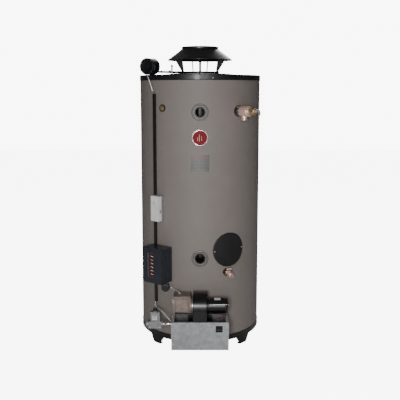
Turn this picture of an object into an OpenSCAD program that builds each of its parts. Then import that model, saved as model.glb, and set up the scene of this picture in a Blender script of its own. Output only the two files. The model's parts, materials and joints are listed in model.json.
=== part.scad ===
// Commercial gas tank water heater with a power burner and a draft hood.
// Millimetres. Origin on the floor under the middle of the overall footprint.
// +Z is up and the front, with the pipe ports and the burner, faces -Y.
// Azimuths are degrees round the tank from the front, positive to the right.

/* [Jacket] */
// Outside diameter of the sheet-steel jacket
jacket_d = 832; // [828:1:836]
// Thickness of the jacket sheet
jacket_t = 1.2; // [1:0.1:2]
// Height of the jacket's visible lower edge above the floor
jacket_z0 = 99; // [97:1:101]
// Height of the jacket's visible upper edge above the floor
jacket_z1 = 1801; // [1799:1:1803]
// Depth of the black skirt of the top pan
pan_skirt = 36; // [34:1:38]
// Rise of the top pan between its rim and its middle
pan_rise = 12; // [8:1:14]
// Depth of the black ring under the jacket
base_skirt = 38; // [36:1:40]

/* [Legs] */
// Azimuth of the front legs to either side of the front
leg_az = 48; // [46:1:50]
// Width of a leg where it leaves the base ring
leg_top_w = 150; // [140:2:156]
// Width of a leg on the floor
leg_foot_w = 70; // [60:2:80]
// Thickness of the pressed steel of the legs
leg_t = 3; // [2.5:0.5:4]

/* [Inner tank] */
// Outside radius of the glass-lined tank
tank_r = 330; // [326:1:334]
// Wall thickness of the tank
tank_t = 4; // [3:0.5:5]
// Height of the tank's lower head
tank_z0 = 424; // [420:1:430]
// Height of the tank's upper head
tank_z1 = 1694; // [1690:1:1698]
// Number of flue tubes
flue_n = 8; // [8]
// Outside radius of a flue tube
flue_r = 38; // [36:1:40]
// Radius of the circle that the flue tubes stand on
flue_ring_r = 200; // [196:1:204]

/* [Water ports] */
// Radius of the 2 inch pipe thread bore
port_bore_r = 29; // [28.5:0.5:30]
// Height of the hot water outlet
hot_z = 1597; // [1590:1:1604]
// Height of the cold water inlet
cold_z = 637; // [630:1:644]
// Radius of the collar ring round a port
port_ring_r = 53; // [50:1:56]

/* [Relief valve] */
// Azimuth of the relief valve
relief_az = 37; // [36:1:38]
// Height of the relief valve
relief_z = 1602; // [1598:1:1606]
// Radius of the relief valve's cylindrical body
relief_r = 34; // [32:1:36]
// Radius of the relief valve's outlet bore
relief_bore_r = 13.3; // [13:0.1:13.6]

/* [Drain valve] */
// Azimuth of the drain valve
drain_az = 25; // [24:1:26]
// Height of the drain valve
drain_z = 537; // [532:1:542]
// Outside radius of the hose thread
hose_r = 13.3; // [13:0.1:13.6]

/* [Clean-out] */
// Azimuth of the clean-out cover
clean_az = 27.5; // [27:0.5:28]
// Height of the clean-out cover's centre
clean_z = 687; // [684:1:690]
// Radius of the clean-out cover
clean_r = 115; // [113:1:117]

/* [Draft hood] */
// Radius of the vent collar
collar_r = 127; // [126:0.5:128]
// Radius of the hood's open lower rim
skirt_r = 225; // [220:1:230]
// Height of the hood's lower rim
skirt_z = 1941; // [1936:1:1945]
// Height of the hood's cone
cone_h = 75; // [70:1:80]
// Height of the vent collar above the cone
collar_h = 18; // [16:1:24]
// Thickness of the hood's sheet
hood_t = 1.6; // [1.5:0.1:2]

/* [Controls] */
// Azimuth of the wire raceway
race_az = -45; // [-46:0.5:-44]
// Width of the wire raceway
race_w = 20; // [18:1:22]
// Azimuth of the junction box
jbox_az = -40; // [-41:0.5:-39]
// Width of the junction box
jbox_w = 70; // [68:1:72]
// Depth of the junction box
jbox_d = 48; // [46:1:50]
// Height of the junction box
jbox_h = 168; // [166:1:170]
// Azimuth of the control box
cbox_az = -36.5; // [-37:0.5:-36]
// Width of the control box
cbox_w = 160; // [158:1:162]
// Depth of the control box
cbox_d = 108; // [106:1:110]
// Height of the control box
cbox_h = 232; // [230:1:234]

/* [Burner] */
// Width of the burner box's front panel
panel_w = 369; // [366:1:372]
// Height of the burner box's front panel
panel_h = 184; // [180:1:186]
// Height of the front panel's lower edge above the floor
panel_z = 87; // [84:1:90]
// Distance from the tank axis to the front panel's face
panel_d = 605; // [600:1:610]
// Distance from the tank axis to the blower and motor axis
blower_d = 512; // [511:1:513]
// Height of the blower and motor axis
blower_z = 352; // [351:1:353]
// Outside radius of the blower housing
blower_r = 88; // [87:1:89]
// Outside radius of the motor shell
motor_r = 50; // [49:1:51]

/* [Hidden] */
$fn = 72;

jacket_r = jacket_d / 2;
pan_r = jacket_r + 3;
pan_t = 1.5;
pan_top = jacket_z1 + pan_skirt;
base_z = jacket_z0 - base_skirt;
// The footprint runs from the screw heads on the front panel to the back of the top pan
screw_head_h = 2.6;
tank_y = (panel_d + screw_head_h - pan_r) / 2;
fit_gap = 0.3;
elbow_swell = 1.08;
collar_z0 = skirt_z + cone_h;
hood_top = collar_z0 + collar_h;
flange_top = 1864;
tray_x = panel_w / 2 - 1.8;
tray_z0 = panel_z + 2;
tray_z1 = panel_z + panel_h - 1.6;
tray_t = 1.5;
plate_z = tray_z1 - 9;
shaft_r = 8;
shaft_fit = 0.05;
blower_x0 = -42;
blower_x1 = 41;
motor_x0 = 44;
motor_x1 = 182;
bolt_reach = 55;
intake_x0 = -172;
intake_x1 = -62;
intake_y0 = -540;
intake_y1 = -442;
intake_z0 = 318;
intake_z1 = 420;
shutter_t = 1.5;
valve_y = -500;
valve_z = 224;
switch_x = 122;
switch_z = 228;
plug_az = -36;
plug_z = 1621;
badge_z = 1433;
badge_r = 47;
rating_z = 1269;
// The relief valve's bonnet ends here, and the lever's cross pin stands beyond it
relief_end = 578;
lever_pin_y = relief_end + 12;
lever_pin_z = 6;
drain_tilt = 15;
pan_deck = pan_top + pan_rise;
channel_az = -57;
drum_place = [-352, -262, 1892];
drum_turn = -30;
drum_r = 54;
spill_place = [-189, -152, 0];
race_z0 = 308;
race_z1 = 1713;
jbox_z0 = 876;
cbox_z0 = 477;
window_x = -12;
window_w = 56;
window_h = 168;
switch_place = [-231, -388, 431];
// Azimuth and height of the first of the four screws in the top pan's skirt
pan_screw_az = 11.5;
pan_screw_z = jacket_z1 + 14;
// Across and front-to-back places of the blower's two mounting bolts
blower_bolts = [[-59, -583], [61, -583]];
// Offset of the motor's two through-bolts from its axis
motor_bolt_y = 50;
motor_bolt_z = 23;
// Places of the front panel's screws, across and up from the floor
panel_screws = [
    [-172, 230], [-172, 175], [-172, 124], [-158, 230], [-158, 175], [177, 236], [177, 182], [177, 124],
    [-111, 263], [4, 263]
];
// Places of the clean-out cover's screws, as azimuth and height
clean_screws = [[clean_az - 14, clean_z - 6], [clean_az + 14, clean_z + 6]];

// Stand a piece on the tank's axis
module placed() translate([0, tank_y, 0]) children();

// Local frame on the jacket: X along the wall, -Y outwards, Z up
module on_wall(az, r, z) rotate([0, 0, az]) translate([0, -r, z]) children();

// Cylinder along -Y between two distances from the origin
module outward(r, y0, y1) translate([0, -y0, 0]) rotate([90, 0, 0]) cylinder(r = r, h = y1 - y0);

// Cylinder along +X between two places
module along_x(r, x0, x1) translate([x0, 0, 0]) rotate([0, 90, 0]) cylinder(r = r, h = x1 - x0);

// Upright tube
module tube(r_out, r_in, z0, z1) {
    difference() {
        translate([0, 0, z0]) cylinder(r = r_out, h = z1 - z0);
        translate([0, 0, z0 - 1]) cylinder(r = r_in, h = z1 - z0 + 2);
    }
}

// Part of a curved sheet on the wall, cut to the outline of its children
module wall_patch(az, z, r_in, r_out, half_h) {
    intersection() {
        tube(r_out, r_in, z - half_h, z + half_h);
        on_wall(az, 0, z) children();
    }
}

// Box given by its two corners
module span(a, b) translate(a) cube(b - a);

// Round rod between two points
module rod(p, q, r) {
    v = q - p;
    translate(p) rotate([0, acos(v.z / norm(v)), atan2(v.y, v.x)]) cylinder(r = r, h = norm(v));
}

// Round bar or tube through a list of points, with a slightly swollen elbow at each bend
module bent_bar(points, r) {
    for (i = [0 : len(points) - 2]) rod(points[i], points[i + 1], r);
    for (i = [1 : len(points) - 2]) translate(points[i]) sphere(r = r * elbow_swell);
}

// Pan-head screw that leaves along -Y, with its seat at y = 0
module screw(head_r = 4.2, shank = 5) {
    outward(head_r, 0, screw_head_h - 0.8);
    outward(head_r - 0.9, 0, screw_head_h);
    outward(2, -shank, 0);
}

// Hole for that screw's shank
module screw_hole(depth = 8) outward(2.1, -depth, depth);

// Hexagonal bar along -Y, given by its width across corners
module hex_outward(r, y0, y1) {
    translate([0, -y0, 0]) rotate([90, 0, 0]) cylinder(r = r, h = y1 - y0, $fn = 6);
}

// ---------- Casing ----------

module wall_openings() {
    on_wall(0, 0, hot_z) outward(40, 300, 500);
    on_wall(0, 0, cold_z) outward(40, 300, 500);
    on_wall(relief_az, 0, relief_z) outward(33, 300, 500);
    on_wall(drain_az, 0, drain_z) outward(24, 300, 500);
    on_wall(plug_az, 0, plug_z) outward(22, 300, 500);
    on_wall(clean_az, 0, clean_z) outward(98, 300, 500);
    span([-150, -500, 112], [150, -300, 250]);
}

module jacket() {
    color("#857e7a") placed() difference() {
        tube(jacket_r, jacket_r - jacket_t, base_z + 4, pan_top - 4);
        wall_openings();
        for (s = clean_screws) on_wall(s[0], jacket_r, s[1]) screw_hole();
        for (a = [pan_screw_az : 90 : 360]) on_wall(a, jacket_r, pan_screw_z) screw_hole();
    }
}

module top_pan() {
    color("#2b2729") placed() difference() {
        rotate_extrude() polygon([
            [134, pan_deck - pan_t], [210, pan_deck - pan_t], [300, pan_top - pan_t],
            [pan_r - pan_t, pan_top - pan_t], [pan_r - pan_t, jacket_z1], [pan_r, jacket_z1],
            [pan_r, pan_top], [300, pan_top], [210, pan_deck], [134, pan_deck]
        ]);
        for (a = [pan_screw_az : 90 : 360]) on_wall(a, pan_r, pan_screw_z) screw_hole();
    }
}

module base_pan() {
    color("#141a1a") placed() {
        tube(jacket_r + 2, jacket_r + 0.5, base_z + 2, jacket_z0);
        translate([0, 0, base_z]) cylinder(r = jacket_r + 2, h = 2);
    }
}

module leg() {
    intersection() {
        union() {
            tube(404, 404 - leg_t, 0, base_z);
            tube(404, 374, 0, leg_t);
            tube(404, 350, base_z - leg_t, base_z);
            for (side = [-1, 1]) rotate([0, 0, side * 3.2]) span([-1.5, -402, 0], [1.5, -378, base_z]);
        }
        rotate([90, 0, 0]) linear_extrude(height = 500) polygon([
            [-leg_foot_w / 2, 0], [leg_foot_w / 2, 0], [leg_top_w / 2, base_z], [-leg_top_w / 2, base_z]
        ]);
    }
}

module legs() {
    color("#141a1a") placed() for (a = [leg_az, 180 - leg_az, 180 + leg_az, -leg_az]) rotate([0, 0, a])
        leg();
}

module insulation() {
    color("#e3d9b8") placed() difference() {
        tube(jacket_r - jacket_t - 1, tank_r + 5, base_z + 8, jacket_z1 - 40);
        wall_openings();
        on_wall(clean_az, 0, clean_z) outward(104, 300, 500);
    }
}

// ---------- Inside the casing ----------

module flue_places() {
    for (i = [0 : flue_n - 1]) rotate([0, 0, i * 360 / flue_n]) translate([flue_ring_r, 0, 0]) children();
}

module anode_places() for (a = [22.5, 157.5, 292.5]) rotate([0, 0, a]) translate([280, 0, 0]) children();

module inner_tank() {
    color("#4f5b57") placed() difference() {
        union() {
            tube(tank_r, tank_r - tank_t, tank_z0, tank_z1);
            translate([0, 0, tank_z0]) cylinder(r = tank_r - 1, h = 6);
            translate([0, 0, tank_z1 - 6]) cylinder(r = tank_r - 1, h = 6);
            intersection() {
                on_wall(clean_az, 0, clean_z) outward(80, tank_r - 14, tank_r + 12);
                translate([0, 0, clean_z - 100]) cylinder(r = 400, h = 200);
            }
        }
        flue_places() translate([0, 0, tank_z0 - 1]) cylinder(r = flue_r, h = tank_z1 - tank_z0 + 2);
        anode_places() translate([0, 0, tank_z1 - 10]) cylinder(r = 11, h = 20);
        on_wall(0, 0, hot_z) outward(36, 250, 400);
        on_wall(0, 0, cold_z) outward(36, 250, 400);
        on_wall(relief_az, 0, relief_z) outward(16, 250, 400);
        on_wall(drain_az, 0, drain_z) outward(13, 250, 400);
        on_wall(plug_az, 0, plug_z) outward(13, 250, 400);
        on_wall(clean_az, 0, clean_z) outward(56, 250, 400);
    }
}

module flue_tubes() {
    color("#5d5a56") placed() flue_places() tube(flue_r, flue_r - 3, tank_z0 - 6, tank_z1 + 6);
}

module flue_baffles() {
    color("#8d8a84") placed() flue_places() union() {
        span([-30, -1, tank_z0 + 40], [30, 1, tank_z1 + 2]);
        for (z = [tank_z0 + 100 : 350 : tank_z1 - 60]) span([-24, -14, z], [24, 14, z + 2]);
    }
}

module combustion_chamber() {
    color("#6b665f") placed() difference() {
        union() {
            tube(tank_r, tank_r - 3, 92, tank_z0);
            translate([0, 0, 92]) cylinder(r = tank_r - 1, h = 3);
        }
        span([-125, -500, 114], [125, -250, 246]);
    }
}

module burner_head() {
    color("#9a958c") placed() difference() {
        union() {
            translate([0, 0, 150]) cylinder(r = 150, h = 60);
            span([-80, -424, 140], [80, 0, 220]);
        }
        translate([0, 0, 153]) cylinder(r = 147, h = 54);
        span([-77, -430, 143], [77, 0, 217]);
        for (a = [0 : 30 : 330]) rotate([0, 0, a]) translate([110, 0, 200]) cylinder(r = 6, h = 30);
        for (a = [0 : 60 : 330]) rotate([0, 0, a]) translate([60, 0, 200]) cylinder(r = 6, h = 30);
    }
}

module anode_rods() {
    color("#b9bcbd") placed() anode_places() {
        translate([0, 0, 1000]) cylinder(r = 10.8, h = tank_z1 - 1000 + 4);
        translate([0, 0, tank_z1 + 0.2]) cylinder(r = 17, h = 10, $fn = 6);
    }
}

module flue_collector() {
    color("#8f9193") placed() rotate_extrude() polygon([
        [250, tank_z1 + 8], [262, tank_z1 + 8], [262, tank_z1 + 10], [250, tank_z1 + 10], [126, 1790],
        [126, flange_top - 22], [124, flange_top - 22], [124, 1789], [248, tank_z1 + 9]
    ]);
}

module port_spud(z) {
    on_wall(0, 0, z) difference() {
        outward(36, 300, jacket_r + 1);
        outward(port_bore_r, 290, 500);
    }
}

module hot_outlet_spud() {
    color("#3c3a39") placed() port_spud(hot_z);
}

module cold_inlet_spud() {
    color("#3c3a39") placed() port_spud(cold_z);
}

// ---------- Collars, cover and plates on the jacket ----------

// Ring that follows the jacket's wall
module wall_ring(az, z, r_out, r_in, lift) {
    wall_patch(az, z, jacket_r + 0.05, jacket_r + lift, r_out + 5) difference() {
        outward(r_out, 300, 500);
        outward(r_in, 290, 510);
    }
}

module port_collars() {
    color("#7b7572") placed() for (z = [hot_z, cold_z]) {
        wall_ring(0, z, port_ring_r, 37, 2.5);
        wall_ring(0, z, port_ring_r - 6, port_ring_r - 9, 4);
    }
}

module opening_grommets() {
    color("#1b1b1c") placed() {
        wall_ring(relief_az, relief_z, 36, 31, 2);
        wall_ring(drain_az, drain_z, 26, 22, 2);
        wall_ring(plug_az, plug_z, 25, 20, 2.5);
    }
}

module brass_plug() {
    color("#c9a063") placed() on_wall(plug_az, 0, plug_z) {
        outward(13, 322, jacket_r - 2);
        hex_outward(17, jacket_r - 2, jacket_r + 7);
        outward(11, jacket_r + 7, jacket_r + 10);
    }
}

module handhole_plate() {
    color("#55524e") placed() on_wall(clean_az, 0, clean_z) {
        outward(78, tank_r + 12.2, tank_r + 20);
        for (a = [0 : 60 : 300]) rotate([0, a, 0]) translate([66, 0, 0])
            hex_outward(9, tank_r + 20, tank_r + 27);
    }
}

module cleanout_cover() {
    color("#17181b") placed() difference() {
        wall_patch(clean_az, clean_z, jacket_r + 0.05, jacket_r + 2.2, clean_r + 5)
            outward(clean_r, 300, 500);
        for (s = clean_screws) on_wall(s[0], jacket_r, s[1]) screw_hole();
    }
}

module badge() {
    color("#c4242f") placed() {
        wall_patch(0, badge_z, jacket_r + 0.05, jacket_r + 2.2, 60) outward(badge_r, 300, 500);
        wall_ring(0, badge_z, badge_r + 4, badge_r, 3);
    }
}

module rating_plate() {
    color("#77716d") placed() wall_patch(0, rating_z, jacket_r + 0.05, jacket_r + 0.9, 60)
        span([-60, -500, -55], [61, -300, 55]);
}

// ---------- Relief valve ----------

// Steel nipples that carry the relief valve and the drain valve
module steel_nipples() {
    color("#a39e9c") placed() {
        on_wall(relief_az, 0, relief_z) difference() {
            union() {
                outward(16, tank_r - 10, 421);
                hex_outward(25, 421, 446);
            }
            outward(11, tank_r - 20, 460);
        }
        on_wall(drain_az, 0, drain_z) difference() {
            union() {
                outward(13, tank_r - 10, 421);
                hex_outward(16, 421, 434);
            }
            outward(9, tank_r - 20, 450);
        }
    }
}

module relief_valve_body() {
    color("#cf9a7c") placed() on_wall(relief_az, 0, relief_z) difference() {
        union() {
            outward(24, 446, 452);
            outward(relief_r, 452, 522);
            outward(relief_r - 5, 522, 530);
            outward(22, 530, relief_end);
            translate([0, -474, -58]) cylinder(r = 19.5, h = 50);
            translate([0, -474, -58]) cylinder(r = 21.5, h = 9);
            for (s = [-1, 1]) translate([s * 11, 0, 0])
                span([-2, -lever_pin_y - 7, -4], [2, -relief_end, 14]);
        }
        translate([0, -474, -60]) cylinder(r = relief_bore_r, h = 40);
        outward(12, 440, 560);
        outward(4.05, 559, relief_end + 5);
        translate([0, -lever_pin_y, lever_pin_z]) along_x(3.05, -20, 20);
    }
}

module relief_valve_stem() {
    color("#c9a063") placed() on_wall(relief_az, 0, relief_z) {
        outward(11, 505, 512);
        outward(4, 512, relief_end + 1);
    }
}

// Flat lever on a cross pin that lifts the stem when its tip is raised
module relief_valve_lever() {
    color("#c2c8c4") placed() on_wall(relief_az, 0, relief_z) translate([0, -lever_pin_y, lever_pin_z]) {
        along_x(3, -16, 16);
        along_x(6.5, -8.6, 8.6);
        for (s = [-1, 1]) along_x(4.5, s > 0 ? 13.6 : -16, s > 0 ? 16 : -13.6);
        difference() {
            translate([0, -6, -16]) along_x(26, -8, 8);
            translate([0, -6, -16]) along_x(23, -9, 9);
            span([-20, -60, -80], [20, 60, -34]);
            span([-20, 0, -80], [20, 60, 60]);
        }
    }
}

// ---------- Drain valve ----------

module drain_valve_body() {
    color("#d0a083") placed() on_wall(drain_az, 0, drain_z) difference() {
        union() {
            outward(15, 434, 466);
            translate([0, -456, -12]) cylinder(r = 14, h = 32);
            translate([0, -462, 0]) rotate([drain_tilt, 0, 0]) {
                outward(hose_r, 0, 34);
                outward(17, 14, 20);
            }
        }
        outward(8.5, 420, 462);
        translate([0, -462, 0]) rotate([drain_tilt, 0, 0]) outward(9.5, 4, 60);
        translate([0, -456, 6]) cylinder(r = 5.05, h = 30);
    }
}

module drain_valve_handle() {
    color("#b98d5c") placed() on_wall(drain_az, 0, drain_z) translate([0, -456, 0]) {
        translate([0, 0, 7]) cylinder(r = 5, h = 22);
        translate([0, 0, 20.4]) cylinder(r = 8, h = 5);
        span([-19, -4, 25.4], [19, 4, 36]);
    }
}

// ---------- Draft hood ----------

module hood_flange() {
    color("#222123") placed() {
        tube(133, 131, pan_top - 6, flange_top);
        tube(146, 133, pan_deck + 0.05, pan_deck + 2);
        tube(131, 128.5, flange_top - 8, flange_top);
    }
}

module hood_struts() {
    color("#2a282b") placed() for (turn = [0, 180]) rotate([0, 0, turn]) rotate([90, 0, 0])
        translate([0, 0, -1]) linear_extrude(height = 2) polygon([
            [111, flange_top - 20], [128.4, flange_top - 20], [128.4, flange_top + 3], [170, skirt_z - 3],
            [174, skirt_z + 38], [143.8, skirt_z + 62], [128, skirt_z + 42], [120, skirt_z - 3],
            [111, flange_top + 3]
        ]);
}

module hood_rods() {
    foot = pan_deck + 3;
    top = skirt_z + 38;
    color("#3b393b") placed() {
        rod([-10, -172, top], [4, -137.5, foot], 2.5);
        rod([12, 171, top], [-3, 137.5, foot], 2.5);
        for (s = [-1, 1]) rod([s * 63, 159, top], [s * 44, 130.5, foot], 2.5);
    }
}

module hood_skirt() {
    slope = (skirt_r - collar_r) / cone_h;
    wall_x = hood_t * sqrt(1 + 1 / (slope * slope)) * slope;
    color("#2b2a2c") placed() rotate_extrude() polygon([
        [skirt_r, skirt_z], [skirt_r, skirt_z + 3], [collar_r, collar_z0 + 3], [collar_r, hood_top],
        [collar_r - hood_t, hood_top], [collar_r - hood_t, collar_z0 + 2], [skirt_r - wall_x, skirt_z]
    ]);
}

// ---------- Vent switch, spill switch and conduits on top ----------

// Local frame of the round housing: its face looks along -Y
module on_drum() translate(drum_place) rotate([0, 0, drum_turn]) children();

module vent_switch_housing() {
    color("#232425") placed() on_drum() difference() {
        outward(drum_r, -80, -6);
        outward(drum_r - 1.6, -78.4, 10);
    }
}

module vent_switch_cover() {
    color("#0b0b0c") placed() on_drum() {
        outward(drum_r + 1, -6, 0);
        outward(drum_r - 8, 0, 2);
    }
}

module top_channel() {
    color("#1e1d1f") placed() rotate([0, 0, channel_az]) difference() {
        span([-13, -330, pan_deck + 2.2], [13, -147, pan_deck + 16]);
        span([-11.5, -340, pan_deck + 3.7], [11.5, -140, pan_deck + 14.5]);
    }
}

module spill_switch() {
    color("#3a3a3c") placed() translate(spill_place) difference() {
        union() {
            span([-14, -12, pan_deck + 0.3], [14, 12, pan_deck + 2]);
            span([-6, -3, pan_deck + 2], [6, 3, pan_top + 54]);
            translate([0, 0, pan_top + 54]) cylinder(r = 8, h = 12);
        }
        translate([0, 0, pan_top + 58]) cylinder(r = 3.05, h = 20);
    }
}

module spill_reset_button() {
    color("#a62025") placed() translate(spill_place) translate([0, 0, pan_top + 61]) cylinder(r = 3, h = 9);
}

module upper_conduits() {
    color("#b4b1ae") placed() {
        bent_bar([
            [-347, -254, 1832], [-338, -270, 1822], [-333, -277, 1800], [-314, -295, 1745],
            [-304.5, -304.5, 1717]
        ], 4.5);
        bent_bar([[-295, -190, 1858], [-262, -178, 1856], [-226, -166, 1857], [-197, -160, 1866]], 5);
    }
}

// ---------- Raceway, junction box and control box ----------

module raceway_length(z0, z1) {
    on_wall(race_az, 0, 0) difference() {
        span([-race_w / 2, -jacket_r - 13, z0], [race_w / 2, -jacket_r - 0.2, z1]);
        span([-race_w / 2 + 1.2, -jacket_r - 11.8, z0 - 1], [race_w / 2 - 1.2, -jacket_r - 1.4, z1 + 1]);
    }
}

module wire_raceway() {
    color("#1c1616") placed() {
        raceway_length(jbox_z0 + jbox_h + 0.5, race_z1);
        raceway_length(cbox_z0 + cbox_h + 0.5, jbox_z0 - 0.5);
        raceway_length(race_z0, cbox_z0 - 0.5);
    }
}

module junction_box() {
    back = jacket_r + 1.6;
    front = back + jbox_d;
    color("#a9a5a4") placed() on_wall(jbox_az, 0, jbox_z0) difference() {
        span([-jbox_w / 2 + 1.4, -front + 1.4, 1.4], [jbox_w / 2 - 1.4, -back, jbox_h - 1.4]);
        span([-jbox_w / 2 + 2.9, -front, 2.9], [jbox_w / 2 - 2.9, -back - 1.5, jbox_h - 2.9]);
        translate([0, -back - 22, jbox_h / 2]) along_x(11.1, -jbox_w, 0);
    }
}

module junction_box_cover() {
    back = jacket_r + 1.6;
    front = back + jbox_d;
    color("#dcd8d7") placed() on_wall(jbox_az, 0, jbox_z0) difference() {
        union() {
            span([-jbox_w / 2, -front - 1.2, 0], [jbox_w / 2, -front + 1.2, jbox_h]);
            for (s = [-1, 1]) translate([s * (jbox_w / 2 - 0.6), 0, 0])
                span([-0.6, -front, 0], [0.6, -back - 20, jbox_h]);
            span([-jbox_w / 2, -front, 0], [jbox_w / 2, -back - 20, 1.2]);
            span([-jbox_w / 2, -front, jbox_h - 1.2], [jbox_w / 2, -back - 20, jbox_h]);
        }
        for (z = [jbox_h - 40, jbox_h - 54]) translate([z > jbox_h - 50 ? -8 : -4, -front, z]) screw_hole();
        translate([0, -back - 22, jbox_h / 2]) along_x(12.5, -jbox_w, 0);
    }
}

// Local frame at the middle of the control box's back, on the wall
module on_cbox() on_wall(cbox_az, jacket_r + 8, cbox_z0) children();

module control_box_base() {
    color("#20262c") placed() on_cbox() {
        difference() {
            span([-cbox_w / 2, -cbox_d + 12, 0], [cbox_w / 2, 0, cbox_h]);
            span([-cbox_w / 2 + 1.6, -cbox_d, 1.6], [cbox_w / 2 - 1.6, -1.6, cbox_h - 1.6]);
        }
        for (s = [-1, 1]) span([s * 30 - 8, 0, 20], [s * 30 + 8, 4.5, cbox_h - 20]);
    }
}

module control_box_cover() {
    color("#262b31") placed() on_cbox() difference() {
        span([-cbox_w / 2 - 1.2, -cbox_d, -1.2], [cbox_w / 2 + 1.2, -cbox_d + 24, cbox_h + 1.2]);
        span([-cbox_w / 2 - 0.1, -cbox_d + 1.6, -0.1], [cbox_w / 2 + 0.1, -cbox_d + 30, cbox_h + 0.1]);
        translate([window_x, 0, cbox_h / 2])
            span([-window_w / 2, -cbox_d - 5, -window_h / 2], [window_w / 2, -cbox_d + 5, window_h / 2]);
    }
}

module indicator_panel() {
    color("#5b1a24") placed() on_cbox() union() {
        translate([window_x, -cbox_d + 3, cbox_h / 2]) {
            span([-window_w / 2 - 4, 0, -window_h / 2 - 4], [window_w / 2 + 4, 2, window_h / 2 + 4]);
            for (i = [0 : 5]) translate([9, 0, 62 - i * 24]) span([-9, -1.4, -2.2], [9, 0, 2.2]);
        }
    }
}

module control_board() {
    color("#2f5d3a") placed() on_cbox() {
        span([-60, -24, 20], [60, -22, cbox_h - 20]);
        span([-40, -46, 40], [-5, -24, 90]);
        span([10, -40, 60], [45, -24, 100]);
        for (s = [-1, 1]) span([s * 50 - 3, -22, 30], [s * 50 + 3, -1.7, 36]);
    }
}

module pressure_switch() {
    color("#1d2a30") placed() {
        translate(switch_place) {
            outward(28, -14, 0);
            outward(24, 0, 5);
            outward(9, 5, 10);
            outward(20, -27, -14);
            along_x(4, 20, 34);
        }
        on_wall(-31.5, 0, 431) span([-16, -jacket_r - 16, -20], [16, -jacket_r - 0.2, 20]);
    }
}

// Slightly thicker bend of a round bar that turns clockwise from +X; its children start where it ends
module elbow(r, bend_r, angle) {
    translate([0, -bend_r, 0]) rotate([0, 0, 90 - angle])
        rotate_extrude(angle = angle) translate([bend_r, 0]) circle(r = r + 0.2);
    translate([bend_r * sin(angle), -bend_r * (1 - cos(angle)), 0]) rotate([0, 0, -angle]) children();
}

module sensing_tube() {
    color("#c9c7c4") placed() translate(switch_place + [36, -1, 0]) {
        along_x(3, 0, 4.8);
        translate([3.8, 0, 0]) elbow(3, 10, 62) {
            along_x(3, -1, 97.2);
            translate([96.2, 0, 0]) rotate([90, 0, 0]) elbow(3, 8, 90) along_x(3, -1, 2);
        }
    }
}

// ---------- Burner box ----------

module burner_tray() {
    wall = tray_t;
    y0 = -panel_d + 1.4;
    y1 = -432;
    color("#9b9c9e") placed() difference() {
        union() {
            span([-tray_x, y0, tray_z0], [tray_x, y1, tray_z0 + wall]);
            span([-tray_x, y1 - wall, tray_z0], [tray_x, y1, tray_z1]);
            for (side = [0, 1]) mirror([side, 0, 0]) {
                span([tray_x - wall, y0, tray_z0], [tray_x, -360, tray_z1]);
                span([tray_x - 18, y0, tray_z1 - wall], [tray_x, -360, tray_z1]);
                span([tray_x - 14, y0, tray_z0], [tray_x, y0 + wall, tray_z1]);
            }
            span([-tray_x, y1 - 16, tray_z1 - wall], [tray_x, y1, tray_z1]);
            span([-78, -594, plate_z - wall], [78, y1 - wall, plate_z]);
            for (s = [-1, 1]) span([s * 77 - 1, -594, tray_z0], [s * 77 + 1, y1 - wall, plate_z]);
        }
        translate([0, 0, tray_z0 - 5]) cylinder(r = jacket_r + 2.3, h = 300);
        span([-38, -592, plate_z - 10], [37, -524, plate_z + 5]);
        span([-81, -440, 139], [81, -420, 221]);
        for (b = blower_bolts) translate([b.x, b.y, plate_z]) rotate([90, 0, 0]) screw_hole();
        for (p = panel_screws) translate([p[0], -panel_d, p[1]]) screw_hole();
        along_tray_left() outward(17, -8, 8);
    }
}

// Place where the gas pipe enters the burner box's left side
module along_tray_left() translate([-tray_x, valve_y, valve_z]) rotate([0, 0, -90]) children();

module burner_front_panel() {
    w = panel_w / 2;
    color("#a2a4a7") placed() difference() {
        span([-w, -panel_d, panel_z], [w, -panel_d + 15, panel_z + panel_h]);
        span([-w + 1.2, -panel_d + 1.2, panel_z + 1.2], [w - 1.2, -panel_d + 20, panel_z + panel_h - 1.2]);
        translate([0, -panel_d, panel_z + panel_h]) span([blower_x0 - 4, 1.2, -4], [blower_x1 + 4, 20, 4]);
        for (p = panel_screws) translate([p[0], -panel_d, p[1]]) screw_hole();
        span([switch_x - 19, -panel_d - 5, switch_z - 18], [switch_x + 19, -panel_d + 5, switch_z + 18]);
    }
}

module switch_bezel() {
    color("#17191a") placed() translate([switch_x, -panel_d, switch_z]) difference() {
        union() {
            span([-22, -2.5, -21], [22, -0.05, 21]);
            span([-18.8, -0.1, -17.8], [18.8, 22, 17.8]);
        }
        span([-16.5, -5, -16], [16.5, 14, 16]);
        translate([0, 3, 0]) along_x(2.05, -18.2, 18.2);
    }
}

module switch_rocker() {
    color("#0c0d0e") placed() translate([switch_x, -panel_d + 3, switch_z]) {
        along_x(2, -17.9, 17.9);
        rotate([7, 0, 0]) difference() {
            span([-16, -5, -13.6], [16, 5, 13.6]);
            translate([0, -26.5, 0]) along_x(23, -20, 20);
        }
    }
}

// ---------- Blower ----------

// Round scroll with its outlet duct at the front, cut level with the mounting plate
module blower_outline(grow) {
    drop = blower_z - plate_z - 0.05;
    duct_front = blower_r - 1 + min(grow, 0);
    intersection() {
        union() {
            circle(r = blower_r + grow);
            translate([-duct_front, -drop]) square([79 + grow, drop]);
        }
        translate([-2 * blower_r, -drop]) square([4 * blower_r, 4 * blower_r]);
    }
}

// Outline in the plane across the shaft, pushed out along +X
module across_shaft(x0, x1) {
    translate([x0, -blower_d, blower_z]) rotate([90, 0, 90]) linear_extrude(height = x1 - x0) children();
}

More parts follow.
